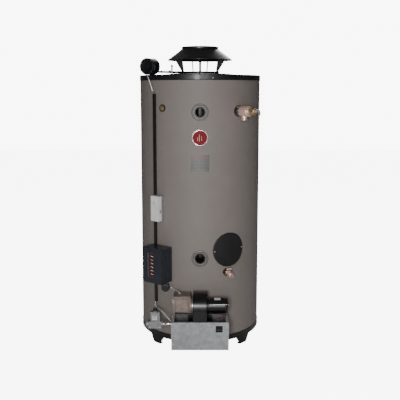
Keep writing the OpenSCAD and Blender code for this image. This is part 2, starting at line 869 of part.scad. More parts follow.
module blower_housing() {
    color("#0e0f10") placed() difference() {
        union() {
            across_shaft(blower_x0, blower_x1) blower_outline(0);
            across_shaft(blower_x0 - 2, blower_x0) blower_outline(5);
            across_shaft(blower_x1, blower_x1 + 2) blower_outline(5);
            span([-68, -blower_d - blower_r + 1, plate_z + 0.05], [70, -blower_d + 2, plate_z + 3]);
        }
        across_shaft(blower_x0 + 1.6, blower_x1 - 1.6) blower_outline(-1.6);
        translate([0, -blower_d, plate_z]) span([blower_x0 + 4, -blower_r + 4, -5], [blower_x1 - 4, -12, 20]);
        translate([0, -blower_d, blower_z]) along_x(42, blower_x0 - 10, blower_x0 + 10);
        translate([0, -blower_d, blower_z]) along_x(16, blower_x1 - 10, blower_x1 + 10);
        for (b = blower_bolts) translate([b.x, b.y, plate_z]) rotate([90, 0, 0]) screw_hole();
        for (a = [0 : 90 : 270]) translate([0, -blower_d, blower_z]) rotate([a + 45, 0, 0])
            translate([0, 0, 44]) along_x(2.1, blower_x1 - 10, blower_x1 + 10);
    }
}

module blower_wheel() {
    color("#8a8d90") placed() translate([0, -blower_d, blower_z]) difference() {
        union() {
            along_x(64, 18, 21);
            along_x(16, -6, 18);
            difference() {
                along_x(64, -34, -31);
                along_x(52, -35, -30);
            }
            for (a = [0 : 15 : 345]) rotate([a, 0, 0]) span([-33, 53, -1], [20, 62, 1]);
        }
        along_x(shaft_r, -10, 30);
    }
}

module motor_bolt_places() for (s = [-1, 1]) translate([0, s * motor_bolt_y, -s * motor_bolt_z]) children();

module motor_shell() {
    color("#191a1b") placed() translate([0, -blower_d, blower_z]) {
        difference() {
            union() {
                along_x(motor_r + 6, motor_x0, motor_x0 + 4);
                along_x(motor_r, motor_x0 + 4, motor_x1);
                for (x = [motor_x0 + 4, motor_x1 - 10]) motor_bolt_places() along_x(7, x, x + 8);
            }
            along_x(motor_r - 3, motor_x0 + 14, motor_x1 - 12);
            along_x(shaft_r + shaft_fit, motor_x0 - 5, motor_x0 + 20);
            along_x(shaft_r + shaft_fit, motor_x1 - 20, motor_x1 - 4);
            motor_bolt_places() along_x(3.1, motor_x0 - 5, motor_x1 + 5);
        }
        difference() {
            along_x(motor_r - 3, motor_x0 + 34, motor_x1 - 32);
            along_x(33, motor_x0 + 30, motor_x1 - 30);
        }
        motor_bolt_places() {
            along_x(3, motor_x0 + 2.2, motor_x1 + 4);
            translate([motor_x1, 0, 0]) rotate([0, 90, 0]) cylinder(r = 6.5, h = 5, $fn = 6);
        }
    }
}

module motor_rotor() {
    color("#8b8b88") placed() translate([0, -blower_d, blower_z]) {
        along_x(shaft_r, -8, motor_x1 - 8);
        along_x(30, motor_x0 + 38, motor_x1 - 36);
    }
}

// Four round air holes, which a turn of 45 degrees takes out of line
module shutter_holes() {
    for (a = [45 : 90 : 315]) rotate([a, 0, 0]) translate([intake_x0, 0, 27]) along_x(9.5, -5, 5);
}

// Sheet-metal box that draws air through the shutter and feeds the blower
module intake_box() {
    wall = 1.4;
    mid_y = (intake_y0 + intake_y1) / 2;
    mid_z = (intake_z0 + intake_z1) / 2;
    color("#8b7f79") placed() difference() {
        union() {
            span([intake_x0, intake_y0, intake_z0], [intake_x1, intake_y1, intake_z1]);
            translate([0, -blower_d, blower_z]) intersection() {
                along_x(47, intake_x1 - 1, blower_x0 - 2.1);
                span([-200, -200, intake_z0 - blower_z], [200, 200, 200]);
            }
            translate([0, mid_y, mid_z]) along_x(4, intake_x0 - 12, intake_x0 + 4);
        }
        span(
            [intake_x0 + wall, intake_y0 + wall, intake_z0 + wall],
            [intake_x1 - wall, intake_y1 - wall, intake_z1 - wall]
        );
        translate([0, -blower_d, blower_z]) intersection() {
            along_x(40, intake_x1 - 5, blower_x0 + 10);
            span([-200, -26, intake_z0 - blower_z + 2], [200, 60, 200]);
        }
        translate([0, mid_y, mid_z]) shutter_holes();
        translate([-134, -486, intake_z1 - 5]) cylinder(r = 3.2, h = 10);
    }
}

module air_shutter() {
    mid_y = (intake_y0 + intake_y1) / 2;
    mid_z = (intake_z0 + intake_z1) / 2;
    color("#a5a29e") placed() translate([0, mid_y, mid_z]) difference() {
        union() {
            along_x(44, intake_x0 - fit_gap - shutter_t, intake_x0 - fit_gap);
            along_x(8, intake_x0 - 7, intake_x0 - fit_gap);
            span([intake_x0 - 14, 34, -5], [intake_x0 - fit_gap - 0.5, 36, 5]);
        }
        along_x(4.05, intake_x0 - 20, intake_x0 + 5);
        shutter_holes();
    }
}

// ---------- Gas train ----------

module gas_valve_body() {
    color("#8e8f92") placed() difference() {
        union() {
            span([-336, valve_y - 26, valve_z - 23], [-252, valve_y + 30, valve_z + 23]);
            translate([0, valve_y, valve_z]) along_x(22, -351, -239);
            translate([0, valve_y, valve_z]) along_x(26, -351, -341);
            translate([0, valve_y, valve_z]) along_x(26, -249, -239);
            span([-321, valve_y - 20, valve_z + 23], [-262, valve_y + 24, valve_z + 84]);
            translate([-292, valve_y, valve_z + 84]) cylinder(r = 17, h = 5);
        }
        translate([0, valve_y, valve_z]) along_x(13.3, -360, -326);
        translate([0, valve_y, valve_z]) along_x(13.5, -264, -230);
        translate([-292, valve_y, valve_z + 74]) cylinder(r = 4.05, h = 30);
    }
}

module gas_valve_knob() {
    color("#0f0f10") placed() translate([-292, valve_y, valve_z + 89.4]) {
        cylinder(r = 13.5, h = 15);
        translate([0, 0, 15]) cylinder(r = 11.5, h = 2.5);
        translate([0, 0, -14]) cylinder(r = 4, h = 15);
        span([-2, -16, 2], [2, -12, 12]);
    }
}

module gas_pipes() {
    color("#9a8f8b") placed() {
        translate([0, valve_y, valve_z]) difference() {
            union() {
                along_x(13.3, -262, -150);
                translate([-234, 0, 0]) rotate([0, 90, 0]) cylinder(r = 22, h = 18, $fn = 6);
                along_x(18, -216, -200);
            }
            along_x(10, -270, -140);
        }
        bent_bar([
            [-304.5, -304.5, 304], [-303, -318, 290], [-292, -352, 285], [-272, -404, 291], [-250, -452, 290],
            [-222, -500, 279], [-200, -535, 269], [-189, -545, 259]
        ], 5.5);
    }
}

// ---------- Screws ----------

module screws() {
    color("#c8c8c6") placed() {
        for (p = panel_screws) translate([p[0], -panel_d, p[1]]) screw();
        for (s = clean_screws) on_wall(s[0], jacket_r + 2.3, s[1]) screw(5.5, 5);
        for (a = [pan_screw_az : 90 : 360]) on_wall(a, pan_r, pan_screw_z) screw(4.2, 6);
        for (b = blower_bolts) translate([b.x, b.y, plate_z + 3.05]) rotate([-90, 0, 0]) screw(6.5, 7);
    }
}

jacket();
top_pan();
base_pan();
legs();
insulation();
inner_tank();
flue_tubes();
flue_baffles();
combustion_chamber();
burner_head();
anode_rods();
flue_collector();
hot_outlet_spud();
cold_inlet_spud();
port_collars();
opening_grommets();
brass_plug();
handhole_plate();
cleanout_cover();
steel_nipples();
relief_valve_body();
relief_valve_lever();
relief_valve_stem();
drain_valve_body();
drain_valve_handle();
badge();
rating_plate();
hood_flange();
hood_struts();
hood_rods();
hood_skirt();
spill_switch();
spill_reset_button();
top_channel();
vent_switch_housing();
vent_switch_cover();
upper_conduits();
wire_raceway();
junction_box();
junction_box_cover();
control_box_base();
control_box_cover();
indicator_panel();
control_board();
pressure_switch();
sensing_tube();
burner_tray();
burner_front_panel();
switch_bezel();
switch_rocker();
blower_housing();
blower_wheel();
motor_shell();
motor_rotor();
intake_box();
air_shutter();
gas_valve_body();
gas_valve_knob();
gas_pipes();
screws();
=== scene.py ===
"""Looks of a commercial gas tank water heater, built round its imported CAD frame.

Lengths in the classes are millimetres and the row frame's axes are used throughout:
+Z up, -Y to the front. An azimuth is degrees round the tank from the front, positive to +X.
"""
import json
import logging
import math
import random
from dataclasses import dataclass, field
from enum import Enum
from typing import Callable, Iterable, Sequence

import bpy
from mathutils import Matrix, Vector


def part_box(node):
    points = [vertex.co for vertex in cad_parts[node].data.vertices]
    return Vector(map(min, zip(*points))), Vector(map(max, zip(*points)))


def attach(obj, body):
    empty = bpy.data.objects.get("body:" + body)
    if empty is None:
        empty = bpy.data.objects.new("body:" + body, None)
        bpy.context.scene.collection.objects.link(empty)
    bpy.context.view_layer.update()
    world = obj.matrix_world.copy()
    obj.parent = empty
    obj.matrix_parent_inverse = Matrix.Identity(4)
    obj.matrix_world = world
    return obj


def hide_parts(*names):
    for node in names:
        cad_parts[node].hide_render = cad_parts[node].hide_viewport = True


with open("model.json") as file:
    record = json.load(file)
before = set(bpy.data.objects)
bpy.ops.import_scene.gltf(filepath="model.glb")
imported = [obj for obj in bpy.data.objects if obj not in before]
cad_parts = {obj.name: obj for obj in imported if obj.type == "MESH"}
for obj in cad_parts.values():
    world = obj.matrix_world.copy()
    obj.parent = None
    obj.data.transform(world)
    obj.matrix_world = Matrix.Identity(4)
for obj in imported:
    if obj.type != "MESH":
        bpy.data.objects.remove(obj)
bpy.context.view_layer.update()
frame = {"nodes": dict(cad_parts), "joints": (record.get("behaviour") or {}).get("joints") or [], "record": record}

LOG = logging.getLogger("water_heater")
MM = 0.001
ROOT = "heater"
SHARP = 32.0  # degrees; an edge that turns more than this stays an edge

Point = Sequence[float]
Outline = Sequence[Sequence[float]]


# ---------------------------------------------------------------- measuring the frame


def box_mm(node: str) -> tuple[Vector, Vector]:
    """Returns the lowest and highest corner of a CAD node in millimetres."""
    low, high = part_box(node)
    return low / MM, high / MM


def middle(node: str) -> Vector:
    """Returns the middle of a CAD node's box in millimetres."""
    low, high = box_mm(node)
    return (low + high) / 2


def joint_place(name: str) -> Vector:
    """Returns the place of a hinge from the record, in millimetres."""
    found = next(j for j in frame["joints"] if j["name"] == name)
    return Vector(found["pos_m"]) / MM


def mount(name: str) -> Vector:
    """Returns a mount's place in millimetres."""
    found = next(m for m in frame["record"]["mounts"] if m["name"] == name)
    return Vector(found["pos_m"]) / MM


TANK_Y = middle("jacket").y
JACKET_R = (box_mm("jacket")[1].x - box_mm("jacket")[0].x) / 2


def azimuth_of(place: Point) -> float:
    """Returns the azimuth of a place round the tank's axis, in degrees."""
    return math.degrees(math.atan2(place[0], TANK_Y - place[1]))


def radius_of(place: Point) -> float:
    """Returns how far a place is from the tank's axis, in millimetres."""
    return math.hypot(place[0], place[1] - TANK_Y)


def shift(x: float, y: float, z: float) -> Matrix:
    """Returns a move by x, y and z millimetres."""
    return Matrix.Translation((x, y, z))


def turn(degrees: float, axis: str) -> Matrix:
    """Returns a turn about one of the axes X, Y or Z."""
    return Matrix.Rotation(math.radians(degrees), 4, axis)


# Widest column of a sheet on the wall
COLUMN = 8.0
# Turns the local Z axis to face outwards, and to lie along X
OUTWARD = turn(90, "X")
ALONG_X = turn(90, "Y")
# Stands an outline upright, so that it is pushed along X: its own X goes back or to the front
PUSHED_X = Matrix(((0, 0, 1, 0), (1, 0, 0, 0), (0, 1, 0, 0), (0, 0, 0, 1)))
PUSHED_X_FRONT = Matrix(((0, 0, 1, 0), (-1, 0, 0, 0), (0, 1, 0, 0), (0, 0, 0, 1)))


def on_wall(azimuth: float, radius: float, height: float) -> Matrix:
    """Returns the local frame of a place round the tank: X along the wall, -Y outwards, Z up."""
    return shift(0, TANK_Y, 0) @ turn(azimuth, "Z") @ shift(0, -radius, height)


# ---------------------------------------------------------------- finishes


def colour(code: str) -> tuple[float, float, float, float]:
    """Turns an sRGB hex colour such as "#857e7a" to linear red, green, blue and alpha."""
    parts = [int(code[i:i + 2], 16) / 255 for i in (1, 3, 5)]
    linear = [c / 12.92 if c <= 0.04045 else ((c + 0.055) / 1.055) ** 2.4 for c in parts]
    return (linear[0], linear[1], linear[2], 1.0)


def add_node(tree: bpy.types.NodeTree, kind: str, settings: dict | None = None, links: dict | None = None):
    """Adds a node with its settings and links.

    Args:
        tree: the node tree that gets the node.
        kind: the node's type name, without "ShaderNode".
        settings: values by the name of an input or of a property.
        links: sockets to plug in, by the name or number of an input.

    Returns:
        The new node.
    """
    node = tree.nodes.new("ShaderNode" + kind)
    for key, value in (settings or {}).items():
        if isinstance(key, str) and hasattr(node, key):
            setattr(node, key, value)
        else:
            node.inputs[key].default_value = value
    for key, socket in (links or {}).items():
        tree.links.new(socket, node.inputs[key])
    return node


@dataclass(frozen=True)
class Finish:
    """What every finish has: a base colour that drifts to a second one, and a roughness that varies."""

    name: str
    tone: str
    drift: str
    metallic: float = 0.0
    smooth: float = 0.3
    rough: float = 0.45
    cloud_mm: float = 90.0
    grain_mm: float = 1.5
    bump_mm: float = 0.02
    coat: float = 0.0

    def coordinates(self, tree: bpy.types.NodeTree):
        """Returns the socket with places on the object, in metres."""
        return add_node(tree, "TexCoord").outputs["Object"]

    def clouds(self, tree: bpy.types.NodeTree, place):
        """Returns the socket of slow blotches, from 0 to 1."""
        return add_node(tree, "TexNoise", {"Scale": 1 / (self.cloud_mm * MM), "Detail": 4.0, "Roughness": 0.6},
                        {"Vector": place}).outputs["Fac"]

    def grain(self, tree: bpy.types.NodeTree, place):
        """Returns the socket of the fine surface grain, from 0 to 1."""
        return add_node(tree, "TexNoise", {"Scale": 1 / (self.grain_mm * MM), "Detail": 3.0},
                        {"Vector": place}).outputs["Fac"]

    def material(self) -> bpy.types.Material:
        """Builds the material once and returns it."""
        made = bpy.data.materials.get(self.name)
        if made:
            return made
        made = bpy.data.materials.new(self.name)
        made.use_nodes = True
        tree = made.node_tree
        shader = tree.nodes["Principled BSDF"]
        shader.inputs["Metallic"].default_value = self.metallic
        shader.inputs["Coat Weight"].default_value = self.coat
        shader.inputs["Coat Roughness"].default_value = 0.12
        place = self.coordinates(tree)
        clouds = self.clouds(tree, place)
        grain = self.grain(tree, place)
        blend = add_node(tree, "ValToRGB", {}, {"Fac": clouds})
        blend.color_ramp.elements[0].position = 0.32
        blend.color_ramp.elements[0].color = colour(self.drift)
        blend.color_ramp.elements[1].position = 0.66
        blend.color_ramp.elements[1].color = colour(self.tone)
        tree.links.new(blend.outputs["Color"], shader.inputs["Base Color"])
        spread = add_node(tree, "MapRange", {"To Min": self.smooth, "To Max": self.rough}, {"Value": clouds})
        tree.links.new(spread.outputs["Result"], shader.inputs["Roughness"])
        bump = add_node(tree, "Bump", {"Strength": 0.6, "Distance": self.bump_mm * MM}, {"Height": grain})
        tree.links.new(bump.outputs["Normal"], shader.inputs["Normal"])
        return made


@dataclass(frozen=True)
class SpangledZinc(Finish):
    """Hot-dip galvanised sheet: zinc crystals, each with its own grey and gloss."""

    # Real crystals are mostly under 10 mm; these are coarser, so that they are seen from a few metres
    spangle_mm: float = 16.0

    def clouds(self, tree: bpy.types.NodeTree, place):
        """Returns the socket of the crystals, softened by a slow stain."""
        wobble = add_node(tree, "TexNoise", {"Scale": 1 / (self.spangle_mm * 2 * MM), "Detail": 2.0}, {"Vector": place})
        bent = add_node(tree, "MixRGB", {"blend_type": "LINEAR_LIGHT", "Fac": 0.02},
                        {"Color1": place, "Color2": wobble.outputs["Color"]})
        cells = add_node(tree, "TexVoronoi", {"Scale": 1 / (self.spangle_mm * MM)}, {"Vector": bent.outputs["Color"]})
        value = add_node(tree, "RGBToBW", {}, {"Color": cells.outputs["Color"]})
        stain = add_node(tree, "TexNoise", {"Scale": 1 / (self.cloud_mm * MM), "Detail": 5.0}, {"Vector": place})
        mixed = add_node(tree, "MixRGB", {"Fac": 0.6},
                         {"Color1": value.outputs["Val"], "Color2": stain.outputs["Fac"]})
        return mixed.outputs["Color"]


@dataclass(frozen=True)
class BrushedMetal(Finish):
    """Drawn or brushed metal: the grain is stretched along one axis, so highlights smear across it."""

    stretch: tuple[float, float, float] = (1.0, 1.0, 0.06)

    def grain(self, tree: bpy.types.NodeTree, place):
        """Returns the socket of the drawn-out grain, from 0 to 1."""
        pulled = add_node(tree, "Mapping", {"Scale": self.stretch}, {"Vector": place})
        return add_node(tree, "TexNoise", {"Scale": 1 / (self.grain_mm * MM), "Detail": 2.0},
                        {"Vector": pulled.outputs["Vector"]}).outputs["Fac"]


class Look(Enum):
    """Every finish on the heater, named for what the real one is."""

    # Sprayed and baked enamel on rolled steel: satin, with a faint orange peel and slow cloudiness
    JACKET_ENAMEL = Finish("satin_grey_enamel_on_steel", "#837b77", "#7e7672", 0.0, 0.58, 0.66, 420, 2.2, 0.015, 0.0)
    # Black enamel on pressed steel: deeper and glossier, with dust in the highlights
    BLACK_ENAMEL = Finish("black_enamel_on_pressed_steel", "#1a181a", "#131213", 0.0, 0.34, 0.46, 120, 1.6, 0.012, 0.1)
    # The base ring and legs have a thinner black coat that reads slightly green
    BASE_ENAMEL = Finish("thin_black_enamel_on_steel", "#141919", "#0f1212", 0.0, 0.34, 0.5, 90, 1.8, 0.03, 0.12)
    # Heat-proof matt black paint of the hood's struts and rods
    STOVE_BLACK = Finish("matt_black_stove_paint", "#141314", "#0e0d0e", 0.0, 0.62, 0.78, 60, 1.2, 0.02)
    # Galvanised sheet inside the burner box: a darker copy of the galvanised finish, painted shade
    SHADED_ZINC = SpangledZinc("shade_darkened_galvanised_sheet", "#666668", "#555558", 0.3, 0.5, 0.62, 120, 1.2,
                               0.01, 0.0, 20)
    # Glossy black enamel of the blower and motor
    GLOSS_BLACK = Finish("glossy_black_enamel_on_steel", "#0e0f10", "#090a0a", 0.0, 0.26, 0.36, 60, 1.4, 0.005, 0.12)
    # Galvanised sheet: grey crystals with changing gloss
    GALVANISED = SpangledZinc("galvanised_spangled_sheet", "#b2b4b6", "#9b9d9f", 0.6, 0.38, 0.5, 260, 1.2,
                              0.01, 0.0, 22)
    # Galvanised sheet in the shade of the burner: a darker, warmer copy of the galvanised finish, painted shade
    SHADED_WARM_ZINC = SpangledZinc("shade_darkened_warm_galvanised_sheet", "#94857d", "#7d6e67", 0.4, 0.44, 0.56, 90, 1.2, 0.01, 0.0, 18)
    # White powder coat on the junction box: the palest, most even surface here
    WHITE_POWDER = Finish("white_powder_coat", "#ecebea", "#e2dfde", 0.0, 0.4, 0.52, 60, 1.0, 0.03, 0.0)
    # Zinc-plated steel of nipples and screws: small, sharp highlights on a warm grey
    ZINC_PLATE = BrushedMetal("zinc_plated_steel", "#c9c6c2", "#a8a29d", 0.9, 0.22, 0.38, 18, 0.8, 0.01)
    # Machined and cast brass with a coppery bloom, pinker than clean brass
    BRASS = Finish("cast_brass_with_copper_bloom", "#f2d0c3", "#dfb5a7", 0.5, 0.26, 0.36, 60, 0.9, 0.006)
    # Turned yellow brass
    YELLOW_BRASS = Finish("turned_yellow_brass", "#dccba2", "#bba473", 0.8, 0.24, 0.36, 20, 0.6, 0.006)
    # Die-cast aluminium: matt and finely pitted
    CAST_ALLOY = Finish("die_cast_aluminium", "#9a9a9b", "#838385", 0.55, 0.42, 0.56, 24, 0.9, 0.05)
    # Moulded black ABS with a fine spark texture
    BLACK_ABS = Finish("moulded_black_abs", "#111417", "#0c0f11", 0.0, 0.38, 0.5, 50, 0.8, 0.04)
    # Painted control box: black with a blue cast on its side
    BOX_ENAMEL = Finish("blue_black_textured_enamel", "#242b33", "#1c2229", 0.0, 0.3, 0.42, 70, 0.9, 0.04, 0.15)
    # Dark steel: the own colour of some nuts and screw heads, and painted shade where it stands in for holes and
    # recesses: the ports' bores, the screws' cross recesses, the motor's and the bonnet's slots
    DARK_STEEL_AND_RECESS_SHADE = Finish("dark_steel_and_painted_recess_shade", "#2b2928", "#1a1918", 0.4, 0.4, 0.6, 20, 1.0, 0.04)
    # Moulded collars: a grey that is close to the casing's, and a dark ring that sets it off
    COLLAR_GREY = Finish("grey_moulded_collar", "#8a827f", "#7c7571", 0.0, 0.34, 0.46, 40, 1.0, 0.02)
    COLLAR_DARK = Finish("dark_moulded_collar", "#2f2c2a", "#262321", 0.0, 0.4, 0.5, 40, 1.0, 0.02)
    # Dull black rubber, with no highlight
    RUBBER = Finish("black_rubber_grommet", "#191817", "#100f0f", 0.0, 0.5, 0.7, 30, 0.9, 0.04)
    # Domed resin badge: a dull dark red that holds its colour in the key light
    BADGE_RED = Finish("red_domed_resin", "#8a0c12", "#780a0f", 0.0, 0.7, 0.8, 30, 1.0, 0.0, 0.0)
    # Bright rim of the badge
    SILVER_RIM = BrushedMetal("polished_aluminium_rim", "#e2dcdc", "#cfc6c8", 0.8, 0.18, 0.26, 10, 0.5, 0.005)
    # Rating plate: anodised foil with printed bars
    PLATE_FOIL = BrushedMetal("anodised_foil_plate", "#62625e", "#5a5a57", 0.2, 0.4, 0.5, 60, 0.5, 0.004, 0.0,
                              (0.05, 1, 1))
    # Bare drawn aluminium of the sensing tube: the brightest metal here; on the tray's flanges it is a painted
    # highlight
    BRIGHT_ALUMINIUM_AND_FLANGE_HIGHLIGHT = BrushedMetal("bare_aluminium_and_painted_flange_highlight", "#e9e6e2", "#d8d4cf", 0.55, 0.3, 0.42, 20, 0.6, 0.005)
    # Flat printing inks and paper: they give the plates their bands without any gloss
    PRINT_RED = Finish("red_printing_ink", "#a12f3a", "#932a34", 0.0, 0.4, 0.5, 30, 1.0, 0.0)
    PRINT_DARK = Finish("grey_printing_ink", "#383634", "#31302e", 0.0, 0.4, 0.5, 30, 1.0, 0.0)
    WHITE_LABEL = Finish("white_paper_label", "#e4e2df", "#d5d2ce", 0.0, 0.5, 0.6, 30, 0.5, 0.01)
    # Smoked red window of the control box, and its pale scale marks
    WINDOW_RED = Finish("smoked_red_acrylic", "#4c1220", "#340c16", 0.0, 0.2, 0.3, 40, 1.0, 0.0, 0.3)
    STRIP_GREY = Finish("grey_scale_strip", "#56545f", "#494750", 0.0, 0.4, 0.5, 30, 1.0, 0.01)
    # Insulation of the motor's leads
    WIRE_BLACK = Finish("black_pvc_insulation", "#141414", "#0e0e0e", 0.0, 0.3, 0.42, 20, 0.6, 0.01)
    WIRE_BROWN = Finish("brown_glass_fibre_sleeve", "#6b4436", "#4f3228", 0.0, 0.5, 0.65, 12, 0.6, 0.02)
    # Sheltered inner pieces: pale foam, dark enamel, heat-blued steel, dull magnesium and a green board
    FOAM = Finish("rigid_urethane_foam", "#d9cfa8", "#c7bb90", 0.0, 0.8, 0.9, 40, 3.0, 0.4)
    TANK_STEEL = Finish("enamelled_tank_steel", "#46504d", "#3a4341", 0.2, 0.4, 0.6, 80, 1.6, 0.05)
    HOT_STEEL = Finish("heat_blued_steel", "#5f5a58", "#4a4548", 0.8, 0.35, 0.55, 50, 1.2, 0.03)
    MAGNESIUM = BrushedMetal("extruded_magnesium", "#b6b8ba", "#a2a4a6", 0.85, 0.35, 0.5, 40, 0.8, 0.02)
    CIRCUIT = Finish("green_solder_mask", "#2e5b39", "#254a2e", 0.0, 0.25, 0.4, 18, 0.8, 0.02)


# ---------------------------------------------------------------- mesh building


class Shape:
    """A mesh that is put together from turned, pressed and bent forms, in millimetres."""

    def __init__(self) -> None:
        """Starts with nothing in it."""
        self.points: list[Vector] = []
        self.faces: list[list[int]] = []
        self.looks: list[Look] = []
        self.face_looks: list[int] = []

    def _slot(self, look: Look) -> int:
        """Returns the number of a look's material slot, adding it if it is new."""
        if look not in self.looks:
            self.looks.append(look)
        return self.looks.index(look)

    def add(self, points: Iterable[Point], faces: Iterable[Sequence[int]], look: Look,
            place: Matrix | None = None) -> None:
        """Adds points and faces.

        Args:
            points: the new points.
            faces: faces that number the new points from 0.
            look: the finish of these faces.
            place: where the points' own frame stands.
        """
        start = len(self.points)
        slot = self._slot(look)
        matrix = place or Matrix()
        self.points += [matrix @ Vector(p) for p in points]
        for face in faces:
            self.faces.append([start + i for i in face])
            self.face_looks.append(slot)

    def turned(self, profile: Outline, look: Look, place: Matrix | None = None, steps: int = 64,
               closed: bool = False) -> None:
        """Adds a form of revolution about the local Z axis.

        Args:
            profile: radius and height of each point. A radius of 0 makes a tip.
            look: the finish.
            place: the local frame.
            steps: how many facets go round.
            closed: joins the last point of the profile to the first, as for a ring.
        """
        rows = list(profile) + ([profile[0]] if closed else [])
        points: list[Point] = []
        index: list[list[int]] = []
        for radius, height in rows[:len(profile)]:
            if radius < 1e-6:
                index.append([len(points)] * steps)
                points.append((0, 0, height))
                continue
            index.append([len(points) + i for i in range(steps)])
            around = [2 * math.pi * i / steps for i in range(steps)]
            points += [(radius * math.cos(a), radius * math.sin(a), height) for a in around]
        if closed:
            index.append(index[0])
        faces = []
        for a, b in zip(index, index[1:]):
            for i in range(steps):
                j = (i + 1) % steps
                ring = [a[i], a[j], b[j], b[i]]
                face = [v for n, v in enumerate(ring) if v not in ring[:n]]
                if len(face) > 2:
                    faces.append(face)
        self.add(points, faces, look, place)

    def disc_capped(self, profile: Outline, look: Look, place: Matrix | None = None, steps: int = 64) -> None:
        """Adds a turned form whose two ends are closed on the axis."""
        self.turned([(0.0, profile[0][1]), *profile, (0.0, profile[-1][1])], look, place, steps)

    def pushed(self, outline: Outline, low: float, high: float, look: Look, place: Matrix | None = None) -> None:
        """Adds an outline in the local XY plane, pushed out from one height to another."""
        count = len(outline)
        points = [(x, y, low) for x, y in outline] + [(x, y, high) for x, y in outline]
        faces: list[Sequence[int]] = [list(range(count))[::-1], list(range(count, 2 * count))]
        faces += [[i, (i + 1) % count, count + (i + 1) % count, count + i] for i in range(count)]
        self.add(points, faces, look, place)

    def block(self, low: Point, high: Point, look: Look, place: Matrix | None = None) -> None:
        """Adds a box between two corners."""
        outline = [(low[0], low[1]), (high[0], low[1]), (high[0], high[1]), (low[0], high[1])]
        self.pushed(outline, low[2], high[2], look, place)

    def hexagon(self, across: float, low: float, high: float, look: Look, place: Matrix | None = None) -> None:
        """Adds a hexagonal nut or bar with chamfered ends; across is its size across the corners."""
        corner = across / 2
        cut = min(0.12 * corner, (high - low) / 3)
        rows = [(corner - cut, low), (corner, low + cut), (corner, high - cut), (corner - cut, high)]
        self.disc_capped(rows, look, place, steps=6)

    def swept(self, path: Sequence[Point], radius: float | Callable[[float], float], look: Look,
              place: Matrix | None = None, sides: int = 12) -> None:
        """Adds a round bar along a path of points.

        Args:
            path: the centre line.
            radius: the bar's radius, or a function of the length along the path.
            look: the finish.
            place: the local frame.
            sides: facets round the bar.
        """
        line = [Vector(p) for p in path]
        side = Vector((0, 0, 1)) if abs((line[1] - line[0]).normalized().z) < 0.9 else Vector((1, 0, 0))
        points: list[Point] = []
        run = 0.0
        for i, centre in enumerate(line):
            ahead = (line[min(i + 1, len(line) - 1)] - line[max(i - 1, 0)]).normalized()
            side = (side - ahead * side.dot(ahead)).normalized()
            other = ahead.cross(side)
            run += (centre - line[i - 1]).length if i else 0.0
            r = radius(run) if callable(radius) else radius
            points += [centre + side * (r * math.cos(2 * math.pi * k / sides))
                       + other * (r * math.sin(2 * math.pi * k / sides)) for k in range(sides)]
        faces: list[Sequence[int]] = [list(range(sides))[::-1], list(range(len(points) - sides, len(points)))]
        for i in range(len(line) - 1):
            faces += [[i * sides + k, i * sides + (k + 1) % sides, (i + 1) * sides + (k + 1) % sides,
                       (i + 1) * sides + k] for k in range(sides)]
        self.add(points, faces, look, place)

    def screw(self, place: Matrix, radius: float = 4.2, look: Look = Look.ZINC_PLATE) -> None:
        """Adds a pan-head screw whose cross recess is two dark bars of painted shade; the frame's -Y points out of the
        work.
        """
        head = [(radius, 0.0), (radius, 0.35 * radius), (0.86 * radius, 0.55 * radius), (0.5 * radius, 0.68 * radius),
                (0.0, 0.7 * radius)]
        self.turned(head, look, place @ OUTWARD, 20)
        # Painted shade: the cross recess is not cut, two dark bars on the head stand in for it
        for degrees in (0, 90):
            self.block((-0.5 * radius, -0.08 * radius, 0.62 * radius), (0.5 * radius, 0.08 * radius, 0.72 * radius),
                       Look.DARK_STEEL_AND_RECESS_SHADE, place @ OUTWARD @ turn(degrees + 20, "Z"))

    def piece(self, name: str, body: str = ROOT, replaces: Sequence[str] = (), slot: str | None = None,
              bevel: float = 0.0) -> bpy.types.Object:
        """Makes the object, dresses it and rides it on its body.

        Args:
            name: the piece's name.
            body: the CAD body that it moves with.
            replaces: the CAD nodes that it stands for.
            slot: the record's material slot for the piece; not used.
            bevel: width of the rounded edges in millimetres, or 0 for none.

        Returns:
            The finished object.
        """
        mesh = bpy.data.meshes.new(name)
        mesh.from_pydata([p * MM for p in self.points], [], self.faces)
        for look in self.looks:
            mesh.materials.append(look.value.material())
        mesh.polygons.foreach_set("material_index", self.face_looks)
        mesh.validate()
        mesh.shade_smooth()
        mesh.set_sharp_from_angle(angle=math.radians(SHARP))
        made = bpy.data.objects.new(name, mesh)
        bpy.context.scene.collection.objects.link(made)
        if bevel:
            soften(made, bevel)
        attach(made, body)
        if replaces:
            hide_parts(*replaces)
        LOG.info("%s: %d faces on body %s", name, len(mesh.polygons), body)
        return made


def soften(piece: bpy.types.Object, width: float) -> None:
    """Rounds a piece's sharp edges with a bevel of the given width in millimetres."""
    bevel = piece.modifiers.new("edge_round", "BEVEL")
    bevel.width = width * MM
    bevel.segments = 2
    bevel.limit_method = "ANGLE"
    bevel.angle_limit = math.radians(SHARP)
    bevel.harden_normals = False
    bevel.use_clamp_overlap = True


def arc(centre: Point, radius: float, start: float, stop: float, steps: int) -> list[tuple[float, float]]:
    """Returns points on an arc in a plane, from one angle in degrees to another."""
    angles = [math.radians(start + (stop - start) * i / steps) for i in range(steps + 1)]
    return [(centre[0] + radius * math.cos(a), centre[1] + radius * math.sin(a)) for a in angles]


def rounded(width: float, height: float, corner: float, steps: int = 5) -> list[tuple[float, float]]:
    """Returns the outline of a rectangle with round corners, centred on 0, 0."""
    x, y = width / 2 - corner, height / 2 - corner
    return (arc((x, y), corner, 0, 90, steps) + arc((-x, y), corner, 90, 180, steps)
            + arc((-x, -y), corner, 180, 270, steps) + arc((x, -y), corner, 270, 360, steps))


